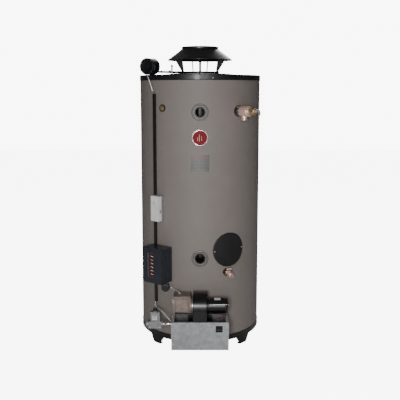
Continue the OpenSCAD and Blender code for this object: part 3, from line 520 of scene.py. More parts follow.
def smooth_path(points: Sequence[Point], steps: int = 8) -> list[Vector]:
    """Returns a flowing path through the points, with several steps between each two."""
    line = [Vector(p) for p in points]
    padded = [line[0] * 2 - line[1], *line, line[-1] * 2 - line[-2]]
    path = []
    for a, b, c, d in zip(padded, padded[1:], padded[2:], padded[3:]):
        for i in range(steps):
            t = i / steps
            path.append(0.5 * (2 * b + (c - a) * t + (2 * a - 5 * b + 4 * c - d) * t * t
                               + (3 * b - 3 * c + d - a) * t ** 3))
    return path + [line[-1]]


def aimed(near: Vector, far: Vector) -> Matrix:
    """Returns the local frame of a place whose Z axis points at a second place."""
    return Matrix.Translation(near) @ (far - near).normalized().to_track_quat("Z", "Y").to_matrix().to_4x4()


def wrapped(points: Iterable[Point], azimuth: float, height: float) -> list[Vector]:
    """Wraps flat points round the jacket.

    Args:
        points: distance along the wall, distance up, and lift off the wall of each point.
        azimuth: where the flat sheet's middle goes.
        height: the height of that middle.

    Returns:
        The points in the row frame.
    """
    out = []
    for along, up, lift in points:
        angle = math.radians(azimuth) + along / JACKET_R
        r = JACKET_R + lift
        out.append(Vector((r * math.sin(angle), TANK_Y - r * math.cos(angle), height + up)))
    return out


def wall_turned(shape: Shape, profile: Outline, look: Look, azimuth: float, height: float,
                steps: int = 96) -> None:
    """Adds a turned form that hugs the jacket: its profile gives radius and lift off the wall."""
    flat = Shape()
    flat.turned(profile, look, None, steps)
    shape.add(wrapped(flat.points, azimuth, height), flat.faces, look)


def wall_sheet(shape: Shape, outline: Outline, low: float, high: float, look: Look, azimuth: float,
               height: float) -> None:
    """Adds a thin sheet on the jacket, built in narrow upright columns so that it follows the curve.

    Args:
        shape: the shape that gets it.
        outline: its convex outline, as distance along the wall and up.
        low: the back's lift off the wall.
        high: the front's lift off the wall.
        look: the finish.
        azimuth: where the outline's origin goes.
        height: the height of that origin.
    """
    xs = [x for x, _ in outline]
    count = max(1, math.ceil((max(xs) - min(xs)) / COLUMN))
    places = sorted({round(x, 3) for x in xs}
                    | {round(min(xs) + (max(xs) - min(xs)) * i / count, 3) for i in range(count + 1)})
    edges = list(zip(outline, list(outline[1:]) + [outline[0]]))
    points: list[Point] = []
    for x in places:
        ys = [y for px, y in outline if abs(px - x) < 0.01]
        ys += [a[1] + (b[1] - a[1]) * (x - a[0]) / (b[0] - a[0]) for a, b in edges
               if min(a[0], b[0]) < x < max(a[0], b[0])]
        points += [(x, min(ys), low), (x, max(ys), low), (x, max(ys), high), (x, min(ys), high)]
    faces: list[Sequence[int]] = [(0, 1, 2, 3), tuple(len(points) - k for k in (1, 2, 3, 4))]
    for i in range(0, len(points) - 4, 4):
        faces += [(i + k, i + 4 + k, i + 4 + (k + 1) % 4, i + (k + 1) % 4) for k in range(4)]
    shape.add(wrapped(points, azimuth, height), faces, look)


def dress(node: str, look: Look, bevel: float = 0.0) -> bpy.types.Object:
    """Gives a CAD node that stays its finish and, if asked, rounded edges."""
    piece = frame["nodes"][node]
    piece.data.materials.clear()
    piece.data.materials.append(look.value.material())
    if bevel:
        soften(piece, bevel)
    LOG.info("%s: kept from the frame, finish %s", node, look.value.name)
    return piece


def solids(node: str) -> list[tuple[Vector, Vector]]:
    """Returns the box of each separate solid in a CAD node, in millimetres, from its mesh."""
    mesh = frame["nodes"][node].data
    matrix = frame["nodes"][node].matrix_world
    places = [matrix @ v.co / MM for v in mesh.vertices]
    merged: dict[tuple[int, int, int], int] = {}
    alias = [merged.setdefault(tuple(round(c * 20) for c in p), i) for i, p in enumerate(places)]
    parent = list(range(len(places)))

    def top(i: int) -> int:
        """Returns the first vertex of the solid that vertex i belongs to."""
        while parent[i] != i:
            parent[i] = parent[parent[i]]
            i = parent[i]
        return i

    for edge in mesh.edges:
        parent[top(alias[edge.vertices[0]])] = top(alias[edge.vertices[1]])
    groups: dict[int, list[Vector]] = {}
    for i, place in enumerate(places):
        groups.setdefault(top(alias[i]), []).append(place)
    return [(Vector(min(p[k] for p in g) for k in range(3)), Vector(max(p[k] for p in g) for k in range(3)))
            for g in groups.values()]


# ---------------------------------------------------------------- casing and legs


@dataclass
class Casing:
    """The enamelled jacket with its black top and base pans."""

    seam_width: float = 14.0
    bead: float = 2.2
    pan_height: float = 36.0

    def build(self) -> None:
        """Dresses the jacket and pans and adds the seams."""
        dress("jacket", Look.JACKET_ENAMEL)
        dress("top_pan", Look.BLACK_ENAMEL)
        dress("base_pan", Look.BASE_ENAMEL)
        self.back_seam()
        self.pan_beads()

    def back_seam(self) -> None:
        """Adds the folded lock seam down the back of the jacket."""
        shape = Shape()
        low, high = box_mm("base_pan")[1].z, box_mm("top_pan")[0].z
        half = self.seam_width / 2
        section = [(-half, 0), (-half + 2, 1.1), (half - 3, 1.1), (half - 2.4, 0.5), (half, 0.4), (half, 0)]
        points = []
        for z in (low, high):
            points += wrapped([(x, 0, lift) for x, lift in section], 180, z)
        count = len(section)
        shape.add(points, [[i, i + 1, count + i + 1, count + i] for i in range(count - 1)], Look.JACKET_ENAMEL)
        shape.piece("jacket_lock_seam", slot="jacket_paint")

    def pan_beads(self) -> None:
        """Adds the rolled beads that stiffen the rims of the two pans."""
        (low, high), (base_low, base_high) = box_mm("top_pan"), box_mm("base_pan")
        top, rim = low.z + self.pan_height, (high.x - low.x) / 2
        place = shift(0, TANK_Y, 0)
        shape = Shape()
        for z, look, r in ((low.z + 3, Look.BLACK_ENAMEL, rim), (top - 2, Look.BLACK_ENAMEL, rim - 0.6),
                           (base_low.z + 3, Look.BASE_ENAMEL, rim - 1), (base_high.z - 3, Look.BASE_ENAMEL, rim - 1)):
            ring = [(r + self.bead * 0.5 * math.cos(a), z + self.bead * math.sin(a))
                    for a in (math.radians(d) for d in range(-90, 91, 30))]
            shape.turned([(r - 1, ring[0][1]), *ring, (r - 1, ring[-1][1])], look, place, 160)
        shape.piece("pan_rim_beads", slot="black_paint")


@dataclass
class Legs:
    """Four pressed channel legs, with their weld beads to the base ring."""

    def build(self) -> None:
        """Dresses the legs and adds their welds."""
        dress("legs", Look.BASE_ENAMEL, 1.2)
        shape = Shape()
        bead = smooth_path([(x, 6 + 1.5 * math.sin(x), 57.5) for x in range(-60, 61, 8)], 2)
        for low, high in solids("legs"):
            centre = (low + high) / 2
            place = on_wall(azimuth_of(centre), radius_of(centre), 0)
            shape.swept(bead, 2.2, Look.BASE_ENAMEL, place, 8)
        shape.piece("leg_weld_beads", slot="black_paint")


# ---------------------------------------------------------------- draft hood and top


@dataclass
class DraftHood:
    """The draft hood: a cone on two struts and four rods over the flue, with its vent collar."""

    sheet: float = 1.6
    roll: float = 2.6
    neck: float = 127.0
    rise: float = 0.755
    rivet_azimuths: tuple[float, ...] = (8, 188)
    bolt_xs: tuple[float, ...] = (124.0, 137.0)
    rod_r: float = 4.4

    def build(self) -> None:
        """Builds the cone, what carries it and the flange."""
        self.cone()
        self.supports()
        self.flange()

    def cone(self) -> None:
        """Builds the spun cone with a rolled rim, a ribbed collar and its seam rivets."""
        low, high = box_mm("hood_skirt")
        rim = (high.x - low.x) / 2
        collar_low = low.z + 75
        neck, t = self.neck, self.sheet
        shape = Shape()
        place = shift(0, TANK_Y, 0)
        roll = arc((rim - self.roll, low.z + self.roll), self.roll, -150, 30, 6)
        outer = roll + [(rim - 3, low.z + 5.6), (neck + 6, collar_low - 3.4), (neck + 2, collar_low - 0.6),
                        (neck, collar_low + 2), (neck, high.z - 5), (neck + 1.0, high.z - 4),
                        (neck + 1.0, high.z - 2.6), (neck, high.z - 1.6), (neck - 0.4, high.z)]
        inner = [(neck - t, high.z), (neck - t, collar_low + 1), (neck, collar_low - 3),
                 (rim - self.roll * 2, low.z + 5), (rim - self.roll * 2.1, low.z + 2.6)]
        shape.turned(outer + inner, Look.BLACK_ENAMEL, place, 192, closed=True)
        for degrees in self.rivet_azimuths:
            for step in range(3):
                r = rim - 18 - step * 32
                z = low.z + 8 + (rim - r - 6) * self.rise
                rivet = place @ turn(degrees, "Z") @ shift(0, -r, z) @ turn(-37, "X")
                shape.disc_capped([(3.4, -0.5), (3.2, 0.7), (2.2, 1.5), (0.6, 1.8)], Look.BLACK_ENAMEL, rivet, 16)
        shape.piece("spun_hood_cone", replaces=["hood_skirt"], slot="black_paint")

    def supports(self) -> None:
        """Dresses the two bent straps, adds their bolts and builds the rods."""
        dress("hood_struts", Look.STOVE_BLACK, 0.8)
        shape = Shape()
        for low, _ in solids("hood_struts"):
            side = 1 if low.x > 0 else -1
            for x in self.bolt_xs:
                shape.screw(shift(side * x, TANK_Y, box_mm("hood_flange")[0].z + 7.2) @ turn(-90, "X"), 3.6,
                            Look.BLACK_ENAMEL)
        shape.piece("hood_strut_bolts", slot="black_paint")
        self.rods()

    def rods(self) -> None:
        """Builds the four slanting rods with a flattened foot nut on each."""
        shape = Shape()
        for low, high in solids("hood_rods"):
            azimuth = math.radians(azimuth_of((low + high) / 2))
            near, far = sorted(radius_of((x, y)) for x in (low.x, high.x) for y in (low.y, high.y))[::3]
            ends = [Vector((r * math.sin(azimuth), TANK_Y - r * math.cos(azimuth), z))
                    for r, z in ((near + self.rod_r, low.z), (far - self.rod_r, high.z))]
            shape.swept(ends, self.rod_r, Look.STOVE_BLACK, None, 16)
            shape.disc_capped([(5.0, 0), (5.0, 3.2), (4.2, 4.0)], Look.STOVE_BLACK,
                              Matrix.Translation(ends[0]) @ shift(0, 0, 0.4), 6)
        shape.piece("hood_slanting_rods", replaces=["hood_rods"], slot="black_paint")

    def flange(self) -> None:
        """Builds the flue outlet ring with its rolled lip."""
        low, high = box_mm("hood_flange")
        rim = (high.x - low.x) / 2
        place = shift(0, TANK_Y, 0)
        shape = Shape()
        foot = low.z
        outer = [(rim, foot + 5.2), (rim, foot + 7.0), (rim - 1, foot + 7.6), (137.5, foot + 7.6), (134.2, foot + 9.4),
                 (133.0, foot + 13), (133.0, high.z - 3.4), (134.4, high.z - 2.4), (134.6, high.z - 1.0),
                 (133.6, high.z), (131.4, high.z), (131.0, high.z - 1.4), (131.0, foot + 0.4), (133, foot + 0.4),
                 (133.4, foot + 5.2)]
        shape.turned(outer, Look.BLACK_ENAMEL, place, 128, closed=True)
        shape.piece("flue_outlet_ring", replaces=["hood_flange"], slot="black_paint")


@dataclass
class TopControls:
    """The vent safety switch on its channel arm, the spill switch and their flexible conduits."""

    bolt_radii: tuple[float, ...] = (172.0, 306.0)
    drum_turn: float = -30.0

    def build(self) -> None:
        """Builds each piece on the top pan."""
        self.arm()
        self.drum()
        self.spill()
        self.conduits()

    def arm(self) -> None:
        """Dresses the folded channel and adds its end bolts."""
        dress("top_channel", Look.GLOSS_BLACK, 0.7)
        low, high = box_mm("top_channel")
        shape = Shape()
        azimuth = azimuth_of((low + high) / 2)
        for r in self.bolt_radii:
            shape.screw(on_wall(azimuth, r, high.z) @ turn(-90, "X"), 4.2)
        shape.piece("channel_arm_bolts", slot="bare_steel")

    def drum(self) -> None:
        """Builds the round switch housing: a ribbed body and a deep cap with a rolled edge."""
        low, high = box_mm("vent_switch_cover")
        centre = (low + high) / 2
        radius = (high.z - low.z) / 2
        place = shift(centre.x, centre.y, centre.z) @ turn(self.drum_turn, "Z") @ OUTWARD
        shape = Shape()
        shape.turned([(0, 3.2), (10, 3.2), (11, 2.4), (radius - 13, 2.4), (radius - 11, 3.2), (radius - 3, 3.1),
                      (radius - 0.8, 2.0), (radius, 0.2), (radius, -1.6), (radius - 0.7, -3.0), (radius - 2.2, -3.0),
                      (0, -3.0)], Look.BLACK_ABS, place, 96)
        for degrees in (45, 135, 225, 315):
            boss = place @ turn(degrees, "Z") @ shift(radius - 7, 0, 2.9) @ turn(-90, "X")
            shape.screw(boss, 2.6, Look.ZINC_PLATE)
        shape.piece("vent_switch_cap", replaces=["vent_switch_cover"], slot="black_plastic")
        body = Shape()
        r = radius - 1
        rows = [(0, -2.8), (r - 1, -2.8), (r, -3.8), (r, -14), (r - 1.6, -15), (r - 1.6, -18), (r, -19), (r, -60),
                (r - 1.2, -61), (r - 1.2, -64), (r, -65), (r, -78), (r - 4, -82.6), (20, -82.8), (0, -82.8)]
        body.turned(rows, Look.BLACK_ABS, place, 96)
        body.piece("vent_switch_drum", replaces=["vent_switch_housing"], slot="black_plastic")

    def spill(self) -> None:
        """Dresses the spill switch and its reset button and adds blade terminals."""
        dress("spill_switch", Look.BLACK_ABS, 0.5)
        dress("spill_reset_button", Look.BLACK_ABS, 0.6)
        low, high = box_mm("spill_switch")
        centre = (low + high) / 2
        shape = Shape()
        for x in (-6.0, 6.0):
            shape.block((centre.x + x - 0.4, low.y - 0.2, low.z + 20), (centre.x + x + 0.4, low.y + 7, low.z + 27),
                        Look.YELLOW_BRASS)
        shape.disc_capped([(7.0, 0), (7.0, 2.4), (5.8, 3.2)], Look.DARK_STEEL_AND_RECESS_SHADE,
                          shift(centre.x, centre.y, high.z - 0.6), 6)
        shape.piece("spill_switch_terminals", slot="bare_steel")

    def conduits(self) -> None:
        """Builds the two flexible metal conduits with their fittings."""
        jobs = (([(-347, -254, 1832), (-339, -268, 1816), (-333, -277, 1800), (-314, -295, 1745),
                  (-304.5, -304.5, 1717)], 4.5),
                ([(-295, -190, 1858), (-262, -178, 1856), (-226, -166, 1857), (-197, -160, 1866)], 5.0))
        shape = Shape()
        for route, radius in jobs:
            corrugated(shape, route, radius)
        shape.piece("switch_wiring_conduits", replaces=["upper_conduits"], slot="bare_steel")


def corrugated(shape: Shape, route: Sequence[Point], radius: float, pitch: float = 4.2, depth: float = 0.8) -> None:
    """Adds a flexible metal conduit with ring ribs and a hex fitting at each end.

    Args:
        shape: the shape that gets it.
        route: points that the conduit runs through, with Y counted from the tank's axis.
        radius: its outer radius.
        pitch: distance from rib to rib. A real one is near 3 mm, so these are a little coarser.
        depth: depth of the ribs.
    """
    coarse = smooth_path([(x, y + TANK_Y, z) for x, y, z in route], 24)
    fine = []
    carry = 0.0
    step = pitch / 4
    for a, b in zip(coarse, coarse[1:]):
        length = (b - a).length
        at = carry
        while at < length:
            fine.append(a.lerp(b, at / length))
            at += step
        carry = at - length
    shape.swept(fine, lambda run: radius - depth * (0.5 - 0.5 * math.cos(2 * math.pi * run / pitch)),
                Look.BRIGHT_ALUMINIUM_AND_FLANGE_HIGHLIGHT, None, 14)
    for near, far in ((fine[0], fine[6]), (fine[-1], fine[-7])):
        place = aimed(near, far)
        shape.hexagon(2.9 * radius, 1, 7, Look.CAST_ALLOY, place)
        ferrule = [(radius * 1.25, 6.5), (radius * 1.25, 11.5), (radius * 1.1, 12.5)]
        shape.disc_capped(ferrule, Look.CAST_ALLOY, place, 24)


# ---------------------------------------------------------------- front of the jacket


@dataclass
class PipePorts:
    """The two threaded ports in their collars, and the grommets round the smaller openings."""

    bore: float = 29.0
    turns: int = 7
    plug_azimuth: float = -36.0

    def build(self) -> None:
        """Builds collars, threads and grommets."""
        # Painted shade: the spuds inside the ports are dark steel so that the bores read dark
        dress("hot_outlet_spud", Look.DARK_STEEL_AND_RECESS_SHADE)
        dress("cold_inlet_spud", Look.DARK_STEEL_AND_RECESS_SHADE)
        dress("brass_plug", Look.YELLOW_BRASS, 0.6)
        dress("opening_grommets", Look.RUBBER)
        self.collars()
        self.plug_head()

    def collars(self) -> None:
        """Builds the moulded collars with a dark raised ring between two grey lips."""
        shape = Shape()
        for name in ("hot_outlet", "cold_inlet"):
            place = mount(name)
            lip = [(38.2, -0.4), (38.2, 1.6), (39.4, 2.8), (42.6, 3.0), (43.6, 3.6), (46.4, 3.6), (47.4, 2.9),
                   (50.6, 2.6), (52.4, 1.6), (53.0, 0.1)]
            for profile, look in ((lip[:4], Look.COLLAR_GREY), (lip[3:7], Look.COLLAR_DARK),
                                  (lip[6:], Look.COLLAR_GREY),
                                  ([(38.2, -0.4), (36.9, -1.0), (36.9, -4.0)], Look.COLLAR_DARK)):
                wall_turned(shape, profile, look, 0, place.z)
            rows = [(self.bore + (0.1 if i % 2 else 1.1), 1.2 + i * 1.1) for i in range(self.turns * 2 + 1)]
            face = shift(place.x, place.y, place.z) @ turn(-90, "X")
            shape.turned([(37.8, 0.6), (36.8, -0.4), (30.6, -0.4), (29.2, 0.8)], Look.COLLAR_GREY, face, 64)
            # Painted shade: the threads are dark steel so that the bore reads dark
            shape.turned(rows, Look.DARK_STEEL_AND_RECESS_SHADE, face, 64)
            wall_turned(shape, [(53.0, 0.1), (53.2, 0.9), (55.0, 0.9), (55.2, 0.1)], Look.RUBBER, 0, place.z)
        shape.piece("port_collar_rings", replaces=["port_collars"], slot="ring_plastic")

    def plug_head(self) -> None:
        """Adds a seal ring round the brass plug and a boss on its square head."""
        z = middle("brass_plug").z
        shape = Shape()
        place = on_wall(self.plug_azimuth, JACKET_R - 0.2, z)
        ring = [(19.0, 0.4), (20.6, 1.4), (23.4, 1.4), (24.6, 0.6)]
        wall_turned(shape, ring, Look.RUBBER, self.plug_azimuth, z, 48)
        shape.disc_capped([(5.2, 0.2), (5.0, 0.7), (3.6, 0.9)], Look.YELLOW_BRASS, place @ OUTWARD, 24)
        shape.piece("brass_plug_face", slot="brass")


@dataclass
class BadgeAndPlate:
    """The round red badge and the foil rating plate, both with plain shapes in place of printing."""

    def build(self) -> None:
        """Builds the badge and the plate."""
        self.badge()
        self.plate()

    def badge(self) -> None:
        """Builds a domed red disc with a bright rim, in which three thin bars rise."""
        low, high = box_mm("badge")
        z, r = (low.z + high.z) / 2, (high.x - low.x) / 2
        shape = Shape()
        wall_turned(shape, [(r, 0.2), (r - 0.2, 1.8), (r - 1.4, 2.8), (r - 3.0, 2.8), (r - 4.2, 1.9)],
                    Look.SILVER_RIM, 0, z)
        wall_turned(shape, [(r - 4.2, 1.7), (r - 5.0, 2.3), (r - 12, 2.75), (r - 30, 2.9), (0.0, 2.95)],
                    Look.BADGE_RED, 0, z)
        for x, width, low_z, high_z in ((-17.0, 3.0, -18, 4), (-6.0, 3.0, -24, 24), (9.0, 3.0, -18, 12)):
            stroke = [(x, low_z), (x + width, low_z + 2), (x + width, high_z - 3), (x + width * 0.35, high_z)]
            wall_sheet(shape, stroke, 2.6, 3.15, Look.WHITE_LABEL, 0, z)
        shape.piece("round_red_badge", replaces=["badge"], slot="red_badge")

    def plate(self) -> None:
        """Builds the foil plate, with a red bar and rows of plain dark bars."""
        low, high = box_mm("rating_plate")
        width, height = high.x - low.x, high.z - low.z
        azimuth = math.degrees((low.x + high.x) / 2 / JACKET_R)
        z = (low.z + high.z) / 2
        shape = Shape()
        wall_sheet(shape, rounded(width, height, 4), 0.2, 1.05, Look.PLATE_FOIL, azimuth, z)
        rows = [(-width / 2 + 10, height / 2 - 14, width - 26, 5.0, Look.PRINT_RED)]
        generator = random.Random(5)
        for row in range(7):
            at = height / 2 - 32 - row * 9.4
            start = -width / 2 + 7
            while start < width / 2 - 20:
                length = generator.uniform(9, 24)
                rows.append((start, at, length, 2.2, Look.PRINT_DARK))
                start += length + 4
        for x, top, length, thick, look in rows:
            bar = [(x, top - thick), (x + length, top - thick), (x + length, top), (x, top)]
            wall_sheet(shape, bar, 0.9, 1.3, look, azimuth, z)
        shape.piece("foil_rating_plate", replaces=["rating_plate"], slot="plate_foil")


# ---------------------------------------------------------------- valves and clean-out


@dataclass
class ReliefValve:
    """The temperature and pressure relief valve on its steel nipple, with its test lever."""

    body_r: float = 34.0
    outlet_y: float = 474.0
    pin_drop: float = 6.0

    def frame(self) -> Matrix:
        """Returns the valve's local frame on the tank's axis, with -Y along its bonnet."""
        pin = joint_place("relief_lever_lift")
        return on_wall(azimuth_of(pin), 0, pin.z - self.pin_drop)

    def build(self) -> None:
        """Builds the nipple, the body, the stem and the lever."""
        dress("steel_nipples", Look.ZINC_PLATE, 1.0)
        dress("relief_valve_stem", Look.YELLOW_BRASS)
        self.body()
        self.lever()

    def body(self) -> None:
        """Builds the turned body with bright lands, the downward outlet and the bonnet, whose slots are dark patches of
        painted shade.
        """
        place = self.frame()
        out = place @ OUTWARD
        r = self.body_r
        shape = Shape()
        rows = [(12, 446), (24, 446), (24, 451), (29, 452.5), (r - 1.5, 453), (r, 454.5), (r, 459), (r - 1.2, 459.6),
                (r - 1.2, 463), (r, 463.6), (r, 490), (r - 1.4, 490.8), (r - 1.4, 496), (r, 496.8), (r, 519),
                (r - 2.4, 522), (r - 5, 522.4), (r - 5, 529), (r - 7, 530.4), (12, 530.6), (12, 446)]
        shape.turned(rows, Look.BRASS, out, 96)
        bonnet = [(12, 530.6), (22, 530.6), (22, 538), (20.8, 538.6), (20.8, 541), (22, 541.6), (22, 572), (20.4, 577),
                  (18, 578), (4.2, 578), (4.2, 560), (12, 558)]
        shape.turned(bonnet, Look.YELLOW_BRASS, out, 96, closed=True)
        shape.hexagon(71, 446.4, 461, Look.ZINC_PLATE, out)
        # Painted shade: the bonnet's slots are not cut, dark patches on it stand in for them
        for degrees in range(0, 360, 60):
            slot = out @ turn(degrees, "Z")
            shape.block((19.6, -1.6, 562), (22.3, 1.6, 574), Look.DARK_STEEL_AND_RECESS_SHADE, slot)
        down = place @ shift(0, -self.outlet_y, -58)
        wall = [(13.3, 34), (13.3, 3), (14.6, 0.6), (16, 0), (20.6, 0), (21.5, 1), (21.5, 8), (20.4, 9.4),
                (19.5, 10), (19.5, 46)]
        shape.turned(wall, Look.BRASS, down, 64)
        threads = [(13.25 - (0.9 if i % 2 else 0.0), 3 + i * 1.15) for i in range(24)]
        shape.turned(threads, Look.BRASS, down, 48)
        for side in (-1, 1):
            ear = [(-597, -4), (-576, -4), (-576, 12), (-588, 14), (-594, 13), (-597, 8)]
            shape.pushed(ear, 0, 4, Look.BRASS, place @ shift(side * 11 - 2, 0, 0) @ PUSHED_X)
        shape.piece("relief_valve_brass_body", replaces=["relief_valve_body"], slot="brass", bevel=0.5)

    def lever(self) -> None:
        """Builds the thin strip lever on its cross pin."""
        pin = joint_place("relief_lever_lift")
        place = on_wall(azimuth_of(pin), radius_of(pin), pin.z)
        shape = Shape()
        for x0, x1, r in ((-16, 16, 3.0), (-8.6, 8.6, 6.4)):
            shape.disc_capped([(r - 0.6, x0), (r, x0 + 0.6), (r, x1 - 0.6), (r - 0.6, x1)], Look.ZINC_PLATE,
                              place @ ALONG_X, 32)
        for x0, x1 in ((13.6, 16.2), (-16.2, -13.6)):
            shape.disc_capped([(3.8, x0), (4.5, x0 + 0.5), (4.5, x1 - 0.5), (3.8, x1)], Look.ZINC_PLATE,
                              place @ ALONG_X, 32)
        outer = arc((-6, -16), 26, 96, 222, 22)
        inner = arc((-6, -16), 24.2, 222, 96, 22)
        shape.pushed(outer + inner, 0, 16, Look.BRIGHT_ALUMINIUM_AND_FLANGE_HIGHLIGHT, place @ shift(-8, 0, 0) @ PUSHED_X)
        shape.piece("relief_test_lever", "relief_lever", ["relief_valve_lever"], "bare_steel", 0.4)


@dataclass
class DrainValve:
    """The brass drain valve with its hose thread and its small handle."""

    azimuth: float = 25.0
    tilt: float = 15.0
    pin_drop: float = 20.0

    def build(self) -> None:
        """Builds the body and the handle."""
        z = joint_place("drain_handle_turn").z - self.pin_drop
        place = on_wall(self.azimuth, 0, z)
        shape = Shape()
        shape.turned([(8.5, 434), (14, 434), (15, 435), (15, 439), (13.6, 440), (13.6, 446), (15, 447), (15, 464),
                      (13, 466), (8.5, 466)], Look.BRASS, place @ OUTWARD, 48)
        shape.disc_capped([(12, -12.5), (14, -10.5), (14, 8), (13, 9), (13, 12), (14, 13), (14, 18), (12.6, 19.6),
                           (5.2, 20)], Look.BRASS, place @ shift(0, -456, 0), 48)
        spout = place @ shift(0, -462, 0) @ turn(self.tilt, "X") @ OUTWARD
        rows = [(9.5, 34), (9.5, 6), (8, 4), (0, 4)]
        thread = [point for i in range(9) for point in ((13.3, 20.4 + i * 1.5), (12.3, 21.1 + i * 1.5))]
        shape.turned([(11, 0), (12.5, 2), (12.5, 13), (16, 14), (17, 15), (17, 19), (16, 20), (12.4, 20.2), *thread,
                      (12.6, 34), *rows], Look.BRASS, spout, 64)
        shape.hexagon(34, 4.5, 12.5, Look.BRASS, spout)
        shape.piece("drain_valve_brass_body", replaces=["drain_valve_body"], slot="brass", bevel=0.3)
        self.handle(z)

    def handle(self, z: float) -> None:
        """Builds the stem, its nut and the winged handle over the valve, whose middle is at height z."""
        place = on_wall(self.azimuth, 456, z)
        shape = Shape()
        shape.disc_capped([(4.6, 7), (5, 8), (5, 28)], Look.YELLOW_BRASS, place, 32)
        shape.hexagon(15.8, 20.4, 25.3, Look.YELLOW_BRASS, place)
        wing = [(-19, -3), (-17, -4), (-8, -4), (-5, -3), (5, -3), (8, -4), (17, -4), (19, -3), (19, 3), (17, 4),
                (8, 4), (5, 3), (-5, 3), (-8, 4), (-17, 4), (-19, 3)]
        shape.pushed(wing, 25.4, 34.6, Look.BRASS, place)
        shape.disc_capped([(3.4, 34), (3.4, 35.4), (2.4, 36)], Look.ZINC_PLATE, place, 20)
        shape.piece("drain_valve_wing_handle", "drain_handle", ["drain_valve_handle"], "brass", 0.9)


@dataclass
class CleanOut:
    """The round black cover over the hand hole, and the bolted plate behind it."""

    azimuth: float = 27.5

    def build(self) -> None:
        """Builds the domed edge of the cover, and dresses the plate."""
        dress("handhole_plate", Look.TANK_STEEL, 1.0)
        low, high = box_mm("cleanout_cover")
        z, r = (low.z + high.z) / 2, (high.z - low.z) / 2
        shape = Shape()
        wall_turned(shape, [(r, 0.1), (r, 1.3), (r - 0.8, 2.1), (r - 4, 2.2), (r - 5.2, 2.7), (r - 7.0, 2.9),
                            (r - 9, 2.6), (r - 60, 2.5), (0.0, 2.5)], Look.BLACK_ENAMEL, self.azimuth, z, 160)
        shape.piece("round_cleanout_cover", replaces=["cleanout_cover"], slot="black_paint")


# ---------------------------------------------------------------- controls on the left


